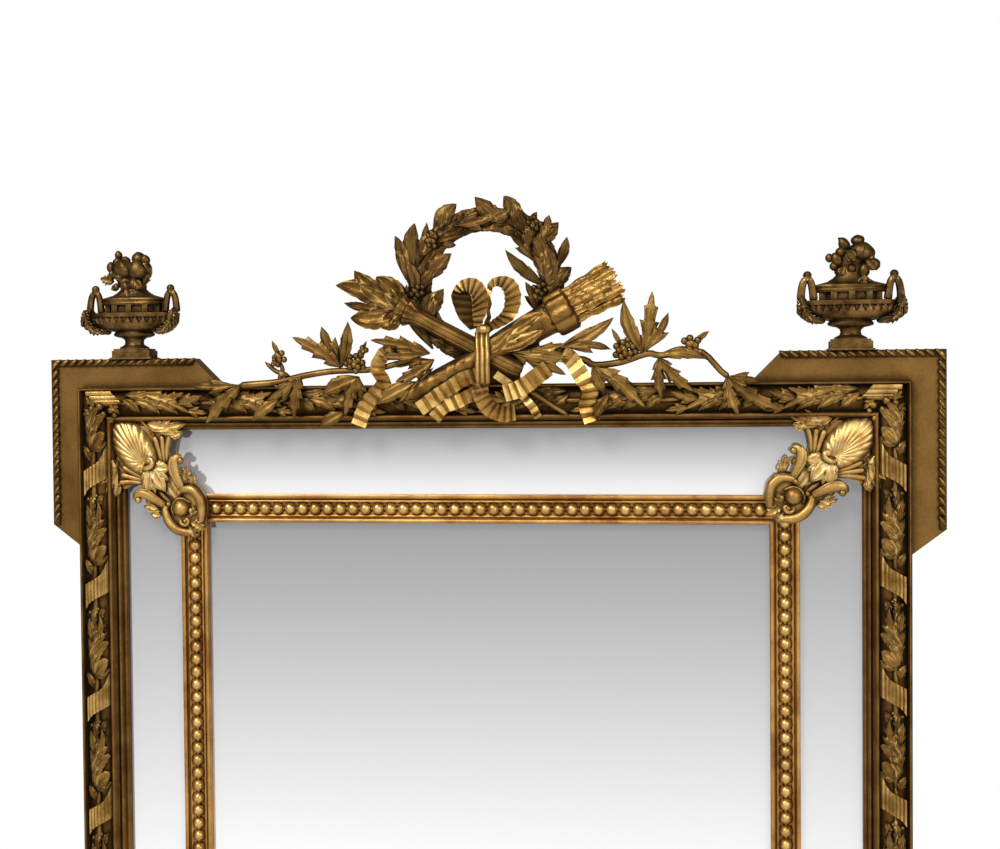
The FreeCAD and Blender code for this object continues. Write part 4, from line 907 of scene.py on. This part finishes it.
for side, centre_x in (("left", -URN_X), ("right", URN_X)):
    finish_piece("urn_carving_" + side, urn(centre_x), urn_gold, "urn_" + side, angle=32)
    finish_piece("bouquet_carving_" + side, bouquet(side, centre_x), urn_gold, "urn_bouquet_" + side,
                 angle=50)

# ---------------- crest: wreath
# A laurel wreath on a round stem, its leaves in overlapping tiers from the foot up both sides, with
# four clusters of berries. Limewood, gilded, seated on the batten behind the trophy.


def crest(across, up, out=62.0):
    """A point of the crest: across, up from the rail's top edge, and forwards from the back."""
    return Vector((across, -out, HALF_HEIGHT + up))


def berries(bm, across, up, out, spread, radius, count, seed):
    """A tight domed cluster of berries, set out as the seeds of a sunflower are."""
    golden_turn = math.pi * (3 - math.sqrt(5))
    for number in range(count):
        turn = number * golden_turn + seed
        reach = spread * math.sqrt(number / count)
        rise = radius * 0.9 * (1 - number / count)
        lump(bm, crest(across + reach * math.cos(turn), up + reach * math.sin(turn), out + rise),
             (radius, radius, radius), cells=(8, 6))


WREATH_X, WREATH_UP, WREATH_RADIUS = 14.0, 145.0, 100.0
toned_leaf = gilding("toned_leaf_gilding", "#7A5B31", "#452F15", sheen=0.36, hollow=20.0, high="#BC9452")
# The wreath's outer leaves: stalk and tip as (across, up), and width.
WREATH_LEAVES = [
    ((-66, 53), (-118, 118), 19), ((-78, 85), (-61, 138), 27), ((-98, 121), (-121, 155), 19),
    ((-74, 156), (-36, 194), 27), ((-104, 156), (-121, 222), 21), ((-96, 168), (-91, 240), 26),
    ((-92, 171), (-73, 241), 26), ((-58, 211), (-14, 220), 15), ((-52, 211), (-29, 206), 13),
    ((-63, 227), (-28, 267), 27), ((-34, 235), (31, 250), 31), ((43, 238), (0, 277), 27),
    ((66, 231), (43, 277), 27), ((81, 216), (58, 266), 25), ((95, 207), (110, 247), 28),
    ((101, 204), (124, 236), 23), ((121, 169), (136, 214), 17), ((105, 175), (95, 222), 24),
    ((89, 176), (51, 220), 20), ((103, 142), (45, 198), 19), ((109, 137), (104, 204), 29),
    ((115, 140), (142, 170), 23), ((92, 98), (74, 150), 22), ((-52, 228), (-43, 263), 18),
    ((-92, 109), (-116, 133), 18), ((-81, 74), (-86, 127), 20), ((103, 129), (130, 166), 20),
    ((-10, 239), (-28, 251), 17), ((-88, 132), (-104, 184), 22), ((-82, 140), (-62, 172), 18),
    ((98, 150), (120, 190), 22), ((76, 196), (88, 238), 20), ((20, 240), (52, 256), 22),
    ((100, 118), (118, 144), 20), ((-98, 176), (-120, 200), 20), ((-70, 100), (-48, 142), 24),
    ((104, 160), (86, 196), 22), ((-84, 190), (-58, 226), 24), ((70, 226), (92, 252), 22),
]


def wreath():
    """The leaves and berries of the wreath, and the rod that they grow from."""
    bm, rod = bmesh.new(), bmesh.new()

    def ring(degrees, radius, out):
        turn = math.radians(degrees)
        return crest(WREATH_X + radius * math.sin(turn), WREATH_UP + radius * math.cos(turn), out)

    for side in (-1, 1):
        bends = [ring(side * degrees, WREATH_RADIUS, 50) for degrees in range(180, -11, -19)]
        stem(rod, bends, [7, 8, 7.5, 6], cuts=3)
        for step in range(16):
            start = side * (176 - step * 11)
            for lean, width, reach in ((0.75, 22, 44), (-0.8, 20, 38), (0.05, 20, 40)):
                edge = BAY if (step + (lean > 0)) % 3 == 0 else OLIVE
                ahead = start - side * reach / WREATH_RADIUS * 50
                tip = ring(ahead, WREATH_RADIUS + lean * 22, 51 + step % 3)
                leaf(bm, ring(start, WREATH_RADIUS + lean * 3, 50), tip, width, edge, crown=6,
                     sweep=side * lean * -0.06, curl=1, bank=lean * 0.25 * side)
    for number, (root, tip, width) in enumerate(WREATH_LEAVES):
        lift, side = 54 + number * 5 % 3 * 1.5, (-1) ** number
        leaf(bm, crest(*root, lift), crest(*tip, lift + 1), width, (OLIVE, OLIVE, VINE, BAY)[number % 4],
             crown=7, curl=2, sweep=0.05 * side, bank=0.16 * side, thick=3)
    for across, up, seed in ((-89, 138, 0.3), (-67, 214, 1.1), (87, 234, 2.0), (95, 135, 0.7)):
        berries(bm, across, up, 59, 12, 4.8, 9, seed)
    return bm, rod


carving, rod = wreath()
finish_piece("wreath_carving", carving, toned_leaf, "crest_wreath")
# The wreath's stem takes the same dark gilding: painted shade under its leaves.
finish_piece("wreath_rod", rod, painted_shade_ground)

# ---------------- crest: torch and quiver
# The trophy: a slatted torch with a flared cup and leafy flames, crossed by a quiver of feathered
# arrows with a fluted body. Carved in half round, gilded, bound at the crossing with ribbon.


def lying(start, heading):
    """Sends (along, across, forwards) to a form that lies on the crest at a heading over level."""
    turn = math.radians(heading)
    along = Vector((math.cos(turn), 0, math.sin(turn)))
    across = Vector((-math.sin(turn), 0, math.cos(turn)))
    base = crest(*start)
    return lambda reach, aside, rise: base + along * reach + across * aside + Vector((0, -rise, 0))


def half_round(bm, spot, stations, surface, cuts=2):
    """A flat-backed round form from (distance, width, rise) stations; surface carves its ridges."""

    def place(share, across):
        reach, width, rise = part_way(stations, share)
        turn = (across + 0.5) * math.pi
        lift = math.sin(turn)
        cutting = 1 + surface(reach, turn) if lift > 0 else 1
        out = rise * lift * cutting if lift > 0 else lift * 1.5
        return spot(reach, width / 2 * math.cos(turn) * cutting, out)

    sheet_of(bm, (len(stations) - 1) * cuts, 48, place)


def slats(reach, turn):
    """Long slats side by side, with a groove at each joint."""
    if reach < 34:
        return 0.05 * math.cos(turn * 16)
    return -0.13 * max(0.0, math.cos(turn * 9)) ** 6


def torch():
    """The torch's slatted shaft and cup, and its flames."""
    bm = bmesh.new()
    spot = lying((-117, 116), -28)
    body = [
        (0, 0, 0), (0.5, 30, 10), (1, 46, 15), (5, 45, 15), (8, 38, 14), (13, 34, 14), (15, 40, 17),
        (19, 42, 18), (22, 38, 17), (26, 31, 15), (34, 27, 14), (60, 26, 14), (110, 27, 14), (160, 28, 14),
        (200, 27, 13), (208, 24, 10), (210, 0, 0),
    ]
    half_round(bm, spot, body, slats)
    for tip, width, bend in (((-210, 149), 34, 0.07), ((-181, 171), 36, -0.07), ((-148, 161), 38, 0.07),
                             ((-188, 100), 38, -0.06), ((-198, 123), 30, -0.04), ((-146, 87), 32, -0.08),
                             ((-168, 136), 42, 0.04), ((-128, 147), 28, 0.06), ((-132, 82), 20, 0.05)):
        leaf(bm, crest(-108, 111, 63), crest(*tip, 67), width, OLIVE if width > 30 else VINE, crown=12,
             sweep=bend, curl=3, thick=6)
    return bm


def quiver_cuts(reach, turn):
    """Slanting gadroons at the foot, shallow slanting panels above, and flutes round the collar."""
    if reach < 112:
        return -0.20 * abs(math.cos(reach / 17 * math.pi + turn * 1.6)) ** 1.5
    if reach > 250:
        return -0.13 * abs(math.cos(turn * 4.5)) ** 6
    return -0.09 * abs(math.cos(reach / 26 * math.pi - turn * 1.5)) ** 3


QUIVER_FOOT, QUIVER_HEADING = (-111, -22), 28


def quiver():
    """The quiver's body with the leaves laid on it."""
    bm = bmesh.new()
    spot = lying(QUIVER_FOOT, QUIVER_HEADING)
    body = [
        (0, 0, 0), (1, 8, 5), (6, 14, 9), (14, 20, 12), (26, 26, 14), (42, 30, 16), (60, 32, 17),
        (80, 32, 17), (96, 31, 17), (112, 30, 17), (128, 30, 17), (150, 36, 18), (180, 42, 20),
        (215, 46, 20), (248, 48, 21), (252, 50, 21), (254, 62, 24), (258, 66, 25), (272, 67, 25),
        (284, 66, 25), (288, 56, 21), (290, 0, 0),
    ]
    half_round(bm, spot, body, quiver_cuts, cuts=3)
    for root, tip, width, bend in (((128, 2), (196, 12), 20, 0.06), ((150, 0), (236, -12), 22, 0.05),
                                   ((182, 6), (246, 10), 20, -0.04)):
        leaf(bm, spot(*root, 15), spot(*tip, 18), width, OLIVE, crown=3.4, sweep=bend, curl=1, bank=0.1)
    return bm


def arrows():
    """A sheaf of feathered arrows: barbed vanes laid side by side, cut off ragged at their ends."""
    bm = bmesh.new()
    spot = lying(QUIVER_FOOT, QUIVER_HEADING)
    mouth, width = 284, 14
    for lane, (reach, rise) in enumerate(((360, 11), (366, 15), (361, 17), (366, 16), (362, 12))):
        def vane(share, across, reach=reach, rise=rise, lane=lane):
            along = mouth + (reach - mouth) * share + (2 * math.sin(across * 9 + lane) if share > 0.93 else 0)
            fan = 1 + 0.24 * share
            barb = 1.1 * math.sin(across * 5.5 + share * 3 + lane)
            barb += 0.35 * math.sin(share * 60 + across * 9 + lane)
            step = 1.4 if (share * 2.6 + lane * 0.37) % 1 > 0.5 else 0.0
            sway = 0.9 * math.sin(share * 17 + lane * 2) * across
            side = (lane * 10 - 20 + across * width / 2) * fan + sway
            return spot(along, side, rise + step + barb - 2.0 * across * across)

        thick_sheet(bm, 34, 10, vane, 6)
    return bm


trophy_gold = gilding("trophy_gilding", "#946F38", "#60431F", patch=24.0, hollow=18.0, high="#D8B168")
finish_piece("torch_carving", torch(), trophy_gold, "crest_torch", angle=42)
finish_piece("quiver_body", quiver(), trophy_gold, "crest_quiver", angle=42)
feather_gold = gilding("feather_gilding", "#B98E4A", "#7C5828", patch=16.0, sheen=0.34, hollow=10.0,
                       high="#E8C078")
finish_piece("arrow_feathers", arrows(), feather_gold, angle=40)

# ---------------- crest: ribbons
# Crimped ribbon: a band round the crossing, a bow of two upright loops and the loose ends. Carved
# thin with sharp pleats, and burnished, so each pleat catches the light.


def band_of(points, width):
    """Stations of a flat ribbon along a path of (across, up, forwards) points in the crest."""
    path = [crest(*point) for point in points]
    pairs = []
    for place, point in enumerate(path):
        run = path[min(place + 1, len(path) - 1)] - path[max(place - 1, 0)]
        aside = run.cross(FRONT).normalized() * (width / 2)
        pairs.append((point + aside, point - aside))
    return pairs


def bind(share, across):
    """Three rolls of ribbon side by side over the crossing."""
    side = 11.5 + across * 11
    roll = abs(math.sin((across + 1) * math.pi * 1.5)) * 2.6
    over = 24 * math.sin(math.pi * (0.08 + share * 0.84)) ** 0.55
    return crest(side + 1.5 * math.sin(share * 3.1), 1 + share * 76, 62 + over + roll)


binding = bmesh.new()
thick_sheet(binding, 24, 30, bind, 2)
finish_piece("ribbon_binding", binding, burnished_gold, "crest_binding", angle=45)

# Each loop as (across, up, forwards) for its outer edge and then its inner edge.
LEFT_LOOP_BACK = [
    (-8, 80, 64, 4, 84, 64), (-24, 96, 62, -2, 98, 62), (-32, 114, 62, -2, 112, 62),
    (-36, 131, 64, -6, 128, 62), (-30, 143, 68, -10, 142, 64),
]
LEFT_LOOP_FRONT = [
    (-33, 136, 66, -24, 134, 64), (-25, 149, 72, -16, 138, 68), (-7, 156, 77, -8, 135, 73),
    (10, 151, 80, -3, 126, 77), (21, 134, 80, -2, 116, 78), (22, 114, 80, -2, 106, 77),
    (15, 95, 78, -2, 95, 75), (8, 80, 74, 0, 82, 74),
]
RIGHT_LOOP_BACK = [
    (12, 82, 64, 20, 80, 66), (16, 100, 63, 23, 98, 66), (17, 120, 63, 24, 118, 66),
    (17, 140, 65, 25, 136, 67), (24, 154, 68, 31, 144, 69),
]
RIGHT_LOOP_FRONT = [
    (24, 154, 68, 28, 143, 68), (42, 158, 75, 38, 142, 72), (60, 152, 80, 44, 134, 76),
    (70, 134, 82, 46, 123, 78), (69, 112, 82, 44, 110, 78), (58, 93, 78, 37, 101, 75),
    (42, 84, 75, 28, 95, 72), (24, 77, 72, 18, 88, 70),
]


def loop_of(bm, loop, pleats, depth):
    """One half of a loop of the bow."""
    pleated(bm, [(crest(*row[:3]), crest(*row[3:])) for row in loop], pleats, depth, 1.8)


bow = bmesh.new()
loop_of(bow, LEFT_LOOP_FRONT, 11, 2.4)
loop_of(bow, RIGHT_LOOP_BACK, 4, 2.4)
loop_of(bow, RIGHT_LOOP_FRONT, 11, 2.4)
# The left loop's back band is gilded dark: painted shade, as it lies behind the front band.
loop_back_painted_shade = gilding("loop_back_painted_shade", "#5A421F", "#35240F", sheen=0.5, hollow=20.0, high="#8A6A35")
loop_back = bmesh.new()
loop_of(loop_back, LEFT_LOOP_BACK, 6, 1.6)
finish_piece("ribbon_loop_back", loop_back, loop_back_painted_shade, angle=22)
lump(bow, crest(14, 80, 74), (12, 8, 8))
finish_piece("ribbon_bow", bow, burnished_gold, "crest_bow", angle=22)

# The loose ends: path as (across, up, forwards), width and pleats.
RIBBON_ENDS = [
    ([(-112, 48, 66), (-136, 46, 72), (-147, 24, 74), (-137, 4, 74), (-153, -15, 72), (-168, -35, 70),
      (-178, -60, 66)], 23, 11),
    ([(118, 42, 66), (140, 38, 74), (157, 10, 74), (170, -12, 72), (164, -32, 70), (172, -56, 66)], 24, 9),
    ([(6, 14, 74), (-16, 8, 78), (-38, -6, 78), (-58, -18, 76), (-84, -36, 68)], 22, 7),
    ([(10, -8, 72), (-6, -16, 76), (-26, -26, 76), (-48, -34, 72), (-62, -50, 68)], 20, 6),
    ([(8, 2, 72), (10, -18, 77), (22, -36, 77), (40, -44, 74), (58, -42, 68)], 24, 8),
    ([(44, -14, 68), (60, -10, 76), (76, -2, 80), (92, 10, 80), (108, 22, 74)], 25, 6),
    ([(30, 14, 66), (60, -8, 70), (84, -34, 68), (92, -50, 66)], 12, 5),
]
ends = bmesh.new()
for path, width, pleats in RIBBON_ENDS:
    pleated(ends, band_of(path, width), pleats, 2.6, 2)
finish_piece("ribbon_ends", ends, burnished_gold, "crest_ribbons", angle=22)

# ---------------- crest: sprays
# Two running sprays of vine leaves along the rail, with twigs, buds and berry clusters. Sawn and
# carved from limewood about 14 mm thick, so that the wall shows between stem and rail.

# Each leaf is cut in lobes from one stalk: stalk, then (tip's across and up, width, edge, sweep).
SPRAY_LEAVES = {
    "left": [
        ((-360, 2), [(-415, -56, 27, OAK, 0.04), (-436, 2, 22, VINE, -0.03)]),
        ((-267, 14), [(-276, -48, 25, OAK, 0.04), (-319, -23, 24, VINE, -0.04), (-294, -12, 16, BAY, 0.0)]),
        ((-203, 27), [(-277, 73, 31, OAK, 0.05), (-233, 88, 30, VINE, -0.04), (-193, 95, 21, BAY, 0.05)]),
        ((-176, 12), [(-232, -14, 25, BAY, 0.06), (-198, -45, 26, OAK, 0.05), (-173, -24, 18, VINE, -0.04)]),
        ((-68, 46), [(-158, 67, 26, OAK, 0.04), (-146, 44, 24, VINE, -0.04)]),
        ((-62, 37), [(-120, 4, 25, OAK, -0.05), (-124, 26, 20, VINE, 0.04)]),
        ((-200, -40), [(-236, -62, 20, BAY, 0.04)]), ((-90, 4), [(-150, -30, 24, BAY, 0.05)]),
        ((-300, -20), [(-340, -52, 18, BAY, 0.05)]),
    ],
    "right": [
        ((54, 46), [(134, 58, 26, OAK, 0.06), (134, 12, 32, OAK, -0.05), (146, 36, 22, BAY, 0.0)]),
        ((124, 52), [(204, 95, 20, OLIVE, 0.06), (201, 48, 24, VINE, -0.08)]),
        ((246, 42), [(220, 121, 22, BAY, -0.08), (260, 132, 29, OAK, 0.03), (283, 101, 25, VINE, 0.06)]),
        ((269, 36), [(272, -25, 24, OAK, 0.03), (319, -14, 25, OAK, 0.06)]),
        ((268, 39), [(338, 31, 20, BAY, -0.12)]),
        ((173, 25), [(191, -15, 18, BAY, 0.03), (230, 0, 25, VINE, 0.05), (250, -37, 27, OAK, -0.05)]),
        ((366, 8), [(382, -48, 27, OAK, 0.04), (444, -42, 26, OAK, 0.06), (412, 0, 22, VINE, 0.0)]),
        ((196, -16), [(176, -52, 18, BAY, 0.04)]),
    ],
}
# Each twig's bends, the main one first.
SPRAY_STEMS = {
    "left": [
        [(-366, 1), (-336, 3), (-301, 6), (-261, 15), (-220, 21), (-190, 22), (-150, 24), (-100, 36)],
        [(-281, 14), (-304, 22), (-322, 37)], [(-301, 6), (-294, 24), (-300, 38)],
        [(-120, -30), (-90, 0), (-62, 26)],
    ],
    "right": [
        [(120, 38), (160, 34), (176, 26), (214, 30), (252, 42), (270, 39), (303, 42), (331, 43), (357, 16),
         (370, 6)],
        [(173, 25), (196, 6), (222, -10)], [(334, 40), (318, 50), (314, 56)],
        [(60, 4), (110, -30), (140, -48)],
    ],
}
# Clusters as (across, up, spread, size of a berry, number of them).
SPRAY_BERRIES = {
    "left": [(-298, 44, 9, 5.0, 6), (-304, 34, 6, 4.5, 4), (-181, 34, 15, 5.2, 13), (-170, 52, 6, 4.4, 5)],
    "right": [(220, 48, 16, 5.4, 14), (316, 56, 12, 5.6, 8)],
}
# Buds' bracts: stalk, tip and width.
SPRAY_THORNS = {
    "left": [((-298, 44), (-310, 68), 8), ((-176, 40), (-164, 66), 7)],
    "right": [((216, 52), (201, 79), 8), ((320, 58), (341, 73), 9)],
}
for side in ("left", "right"):
    bm = bmesh.new()
    for number, bends in enumerate(SPRAY_STEMS[side]):
        thick = [5.4, 5, 4.6, 4.4] if number == 0 else [4.4, 3.6, 2.8]
        stem(bm, [crest(*bend, 67) for bend in bends], thick, cuts=3)
    for number, (stalk, lobes) in enumerate(SPRAY_LEAVES[side]):
        for place, (*tip, width, edge, sweep) in enumerate(lobes):
            lift = 66 + (number + place) % 3 * 1.5
            leaf(bm, crest(*stalk, lift), crest(*tip, lift + 1), width, edge, crown=7, sweep=sweep,
                 curl=3 - place * 2, bank=0.14 * (-1) ** place, thick=4)
    for seed, (across, up, spread, radius, count) in enumerate(SPRAY_BERRIES[side]):
        berries(bm, across, up, 68, spread, radius, count, seed)
    for root, tip, width in SPRAY_THORNS[side]:
        leaf(bm, crest(*root, 68), crest(*tip, 68), width, BAY, crown=2)
    finish_piece("spray_carving_" + side, bm, carved_gold, "crest_spray_" + side)

# ---------------- floor, light and camera
# A pale floor under the frame, soft lamps above the viewer's left and right, white all round, and a
# camera at the photograph's angle: to the right of the middle, a little under the crest.

stage_floor, tree, place = start_material("pale_floor")
spread = add(tree, "VectorMath", "Value", {"operation": "LENGTH"}, _0=place)
reach = add(tree, "Math", "Value", {"operation": "DIVIDE"}, _0=spread, _1=3.0)
fade = ramp(tree, reach, (0.45, 0.0), (0.95, 1.0))
dress(tree, Base_Color="#ECEAE6", Roughness=0.9)
white = add(tree, "Emission", "Emission", Color="#FFFFFF", Strength=1.0)
mixed = add(tree, "MixShader", "Shader", _0=fade, _1=tree.nodes["Principled BSDF"].outputs["BSDF"], _2=white)
tree.links.new(mixed, tree.nodes["Material Output"].inputs["Surface"])
floor_mesh = bmesh.new()
bmesh.ops.create_circle(floor_mesh, cap_ends=True, segments=96, radius=2.9)
bmesh.ops.translate(floor_mesh, vec=(0, 0, (-HALF_HEIGHT - 1) * MM), verts=floor_mesh.verts)
mesh = bpy.data.meshes.new("floor")
floor_mesh.to_mesh(mesh)
floor_mesh.free()
mesh.materials.append(stage_floor)
place_object("floor", mesh)

world = bpy.data.worlds.new("white_room")
bpy.context.scene.world = world
world.use_nodes = True
world.cycles.sampling_method = "NONE"
tree = world.node_tree
rays = tree.nodes.new("ShaderNodeLightPath").outputs
seen = add(tree, "Math", "Value", {"operation": "MAXIMUM"}, _0=rays["Is Camera Ray"],
           _1=rays["Is Transmission Ray"])
# What polished surfaces mirror: a white wall before the frame, fading to a dim room at the sides.
ahead = add(tree, "VectorMath", "Value", {"operation": "DOT_PRODUCT"},
            _0=add(tree, "TexCoord", "Generated"), _1=(0.0, -0.989, -0.148))
wall = add(tree, "MapRange", "Result", Value=ahead, From_Min=0.25, From_Max=0.8, To_Min=0.22, To_Max=1.0)
unseen = add(tree, "MapRange", "Result", Value=rays["Is Glossy Ray"], To_Min=0.5, To_Max=wall)
level = add(tree, "Math", "Value", {"operation": "MAXIMUM"}, _0=seen, _1=unseen)
plug(tree, tree.nodes["Background"], {"Strength": level, "Color": "#FFFFFF"})

for name, place, aim, size, power in (
        ("key_lamp", (-1.3, -2.6, 3.4), (0, 0, 0.5), 1.3, 85),
        ("fill_lamp", (2.2, -2.4, 1.6), (0, 0, 0.4), 1.2, 22)):
    lamp = bpy.data.lights.new(name, "AREA")
    lamp.shape, lamp.size, lamp.energy = "DISK", size, power
    holder = place_object(name, lamp)
    holder.location = place
    holder.rotation_euler = (Vector(aim) - Vector(place)).to_track_quat("-Z", "Y").to_euler()

# The photograph's camera, as fitted to the frame's edges in it.
view = bpy.data.cameras.new("camera")
view.sensor_width, view.lens = 36.0, 50.4
camera = place_object("camera", view)
camera.matrix_world = Matrix.Translation((0.3344, -2.1056, 0.8855)) \
    @ Matrix.Rotation(math.radians(8.333), 4, "Z") @ Matrix.Rotation(math.radians(90 - 1.398), 4, "X") \
    @ Matrix.Rotation(math.radians(-0.509), 4, "Z")
bpy.context.scene.camera = camera
bpy.context.scene.view_settings.view_transform = "Standard"

bpy.context.view_layer.update()
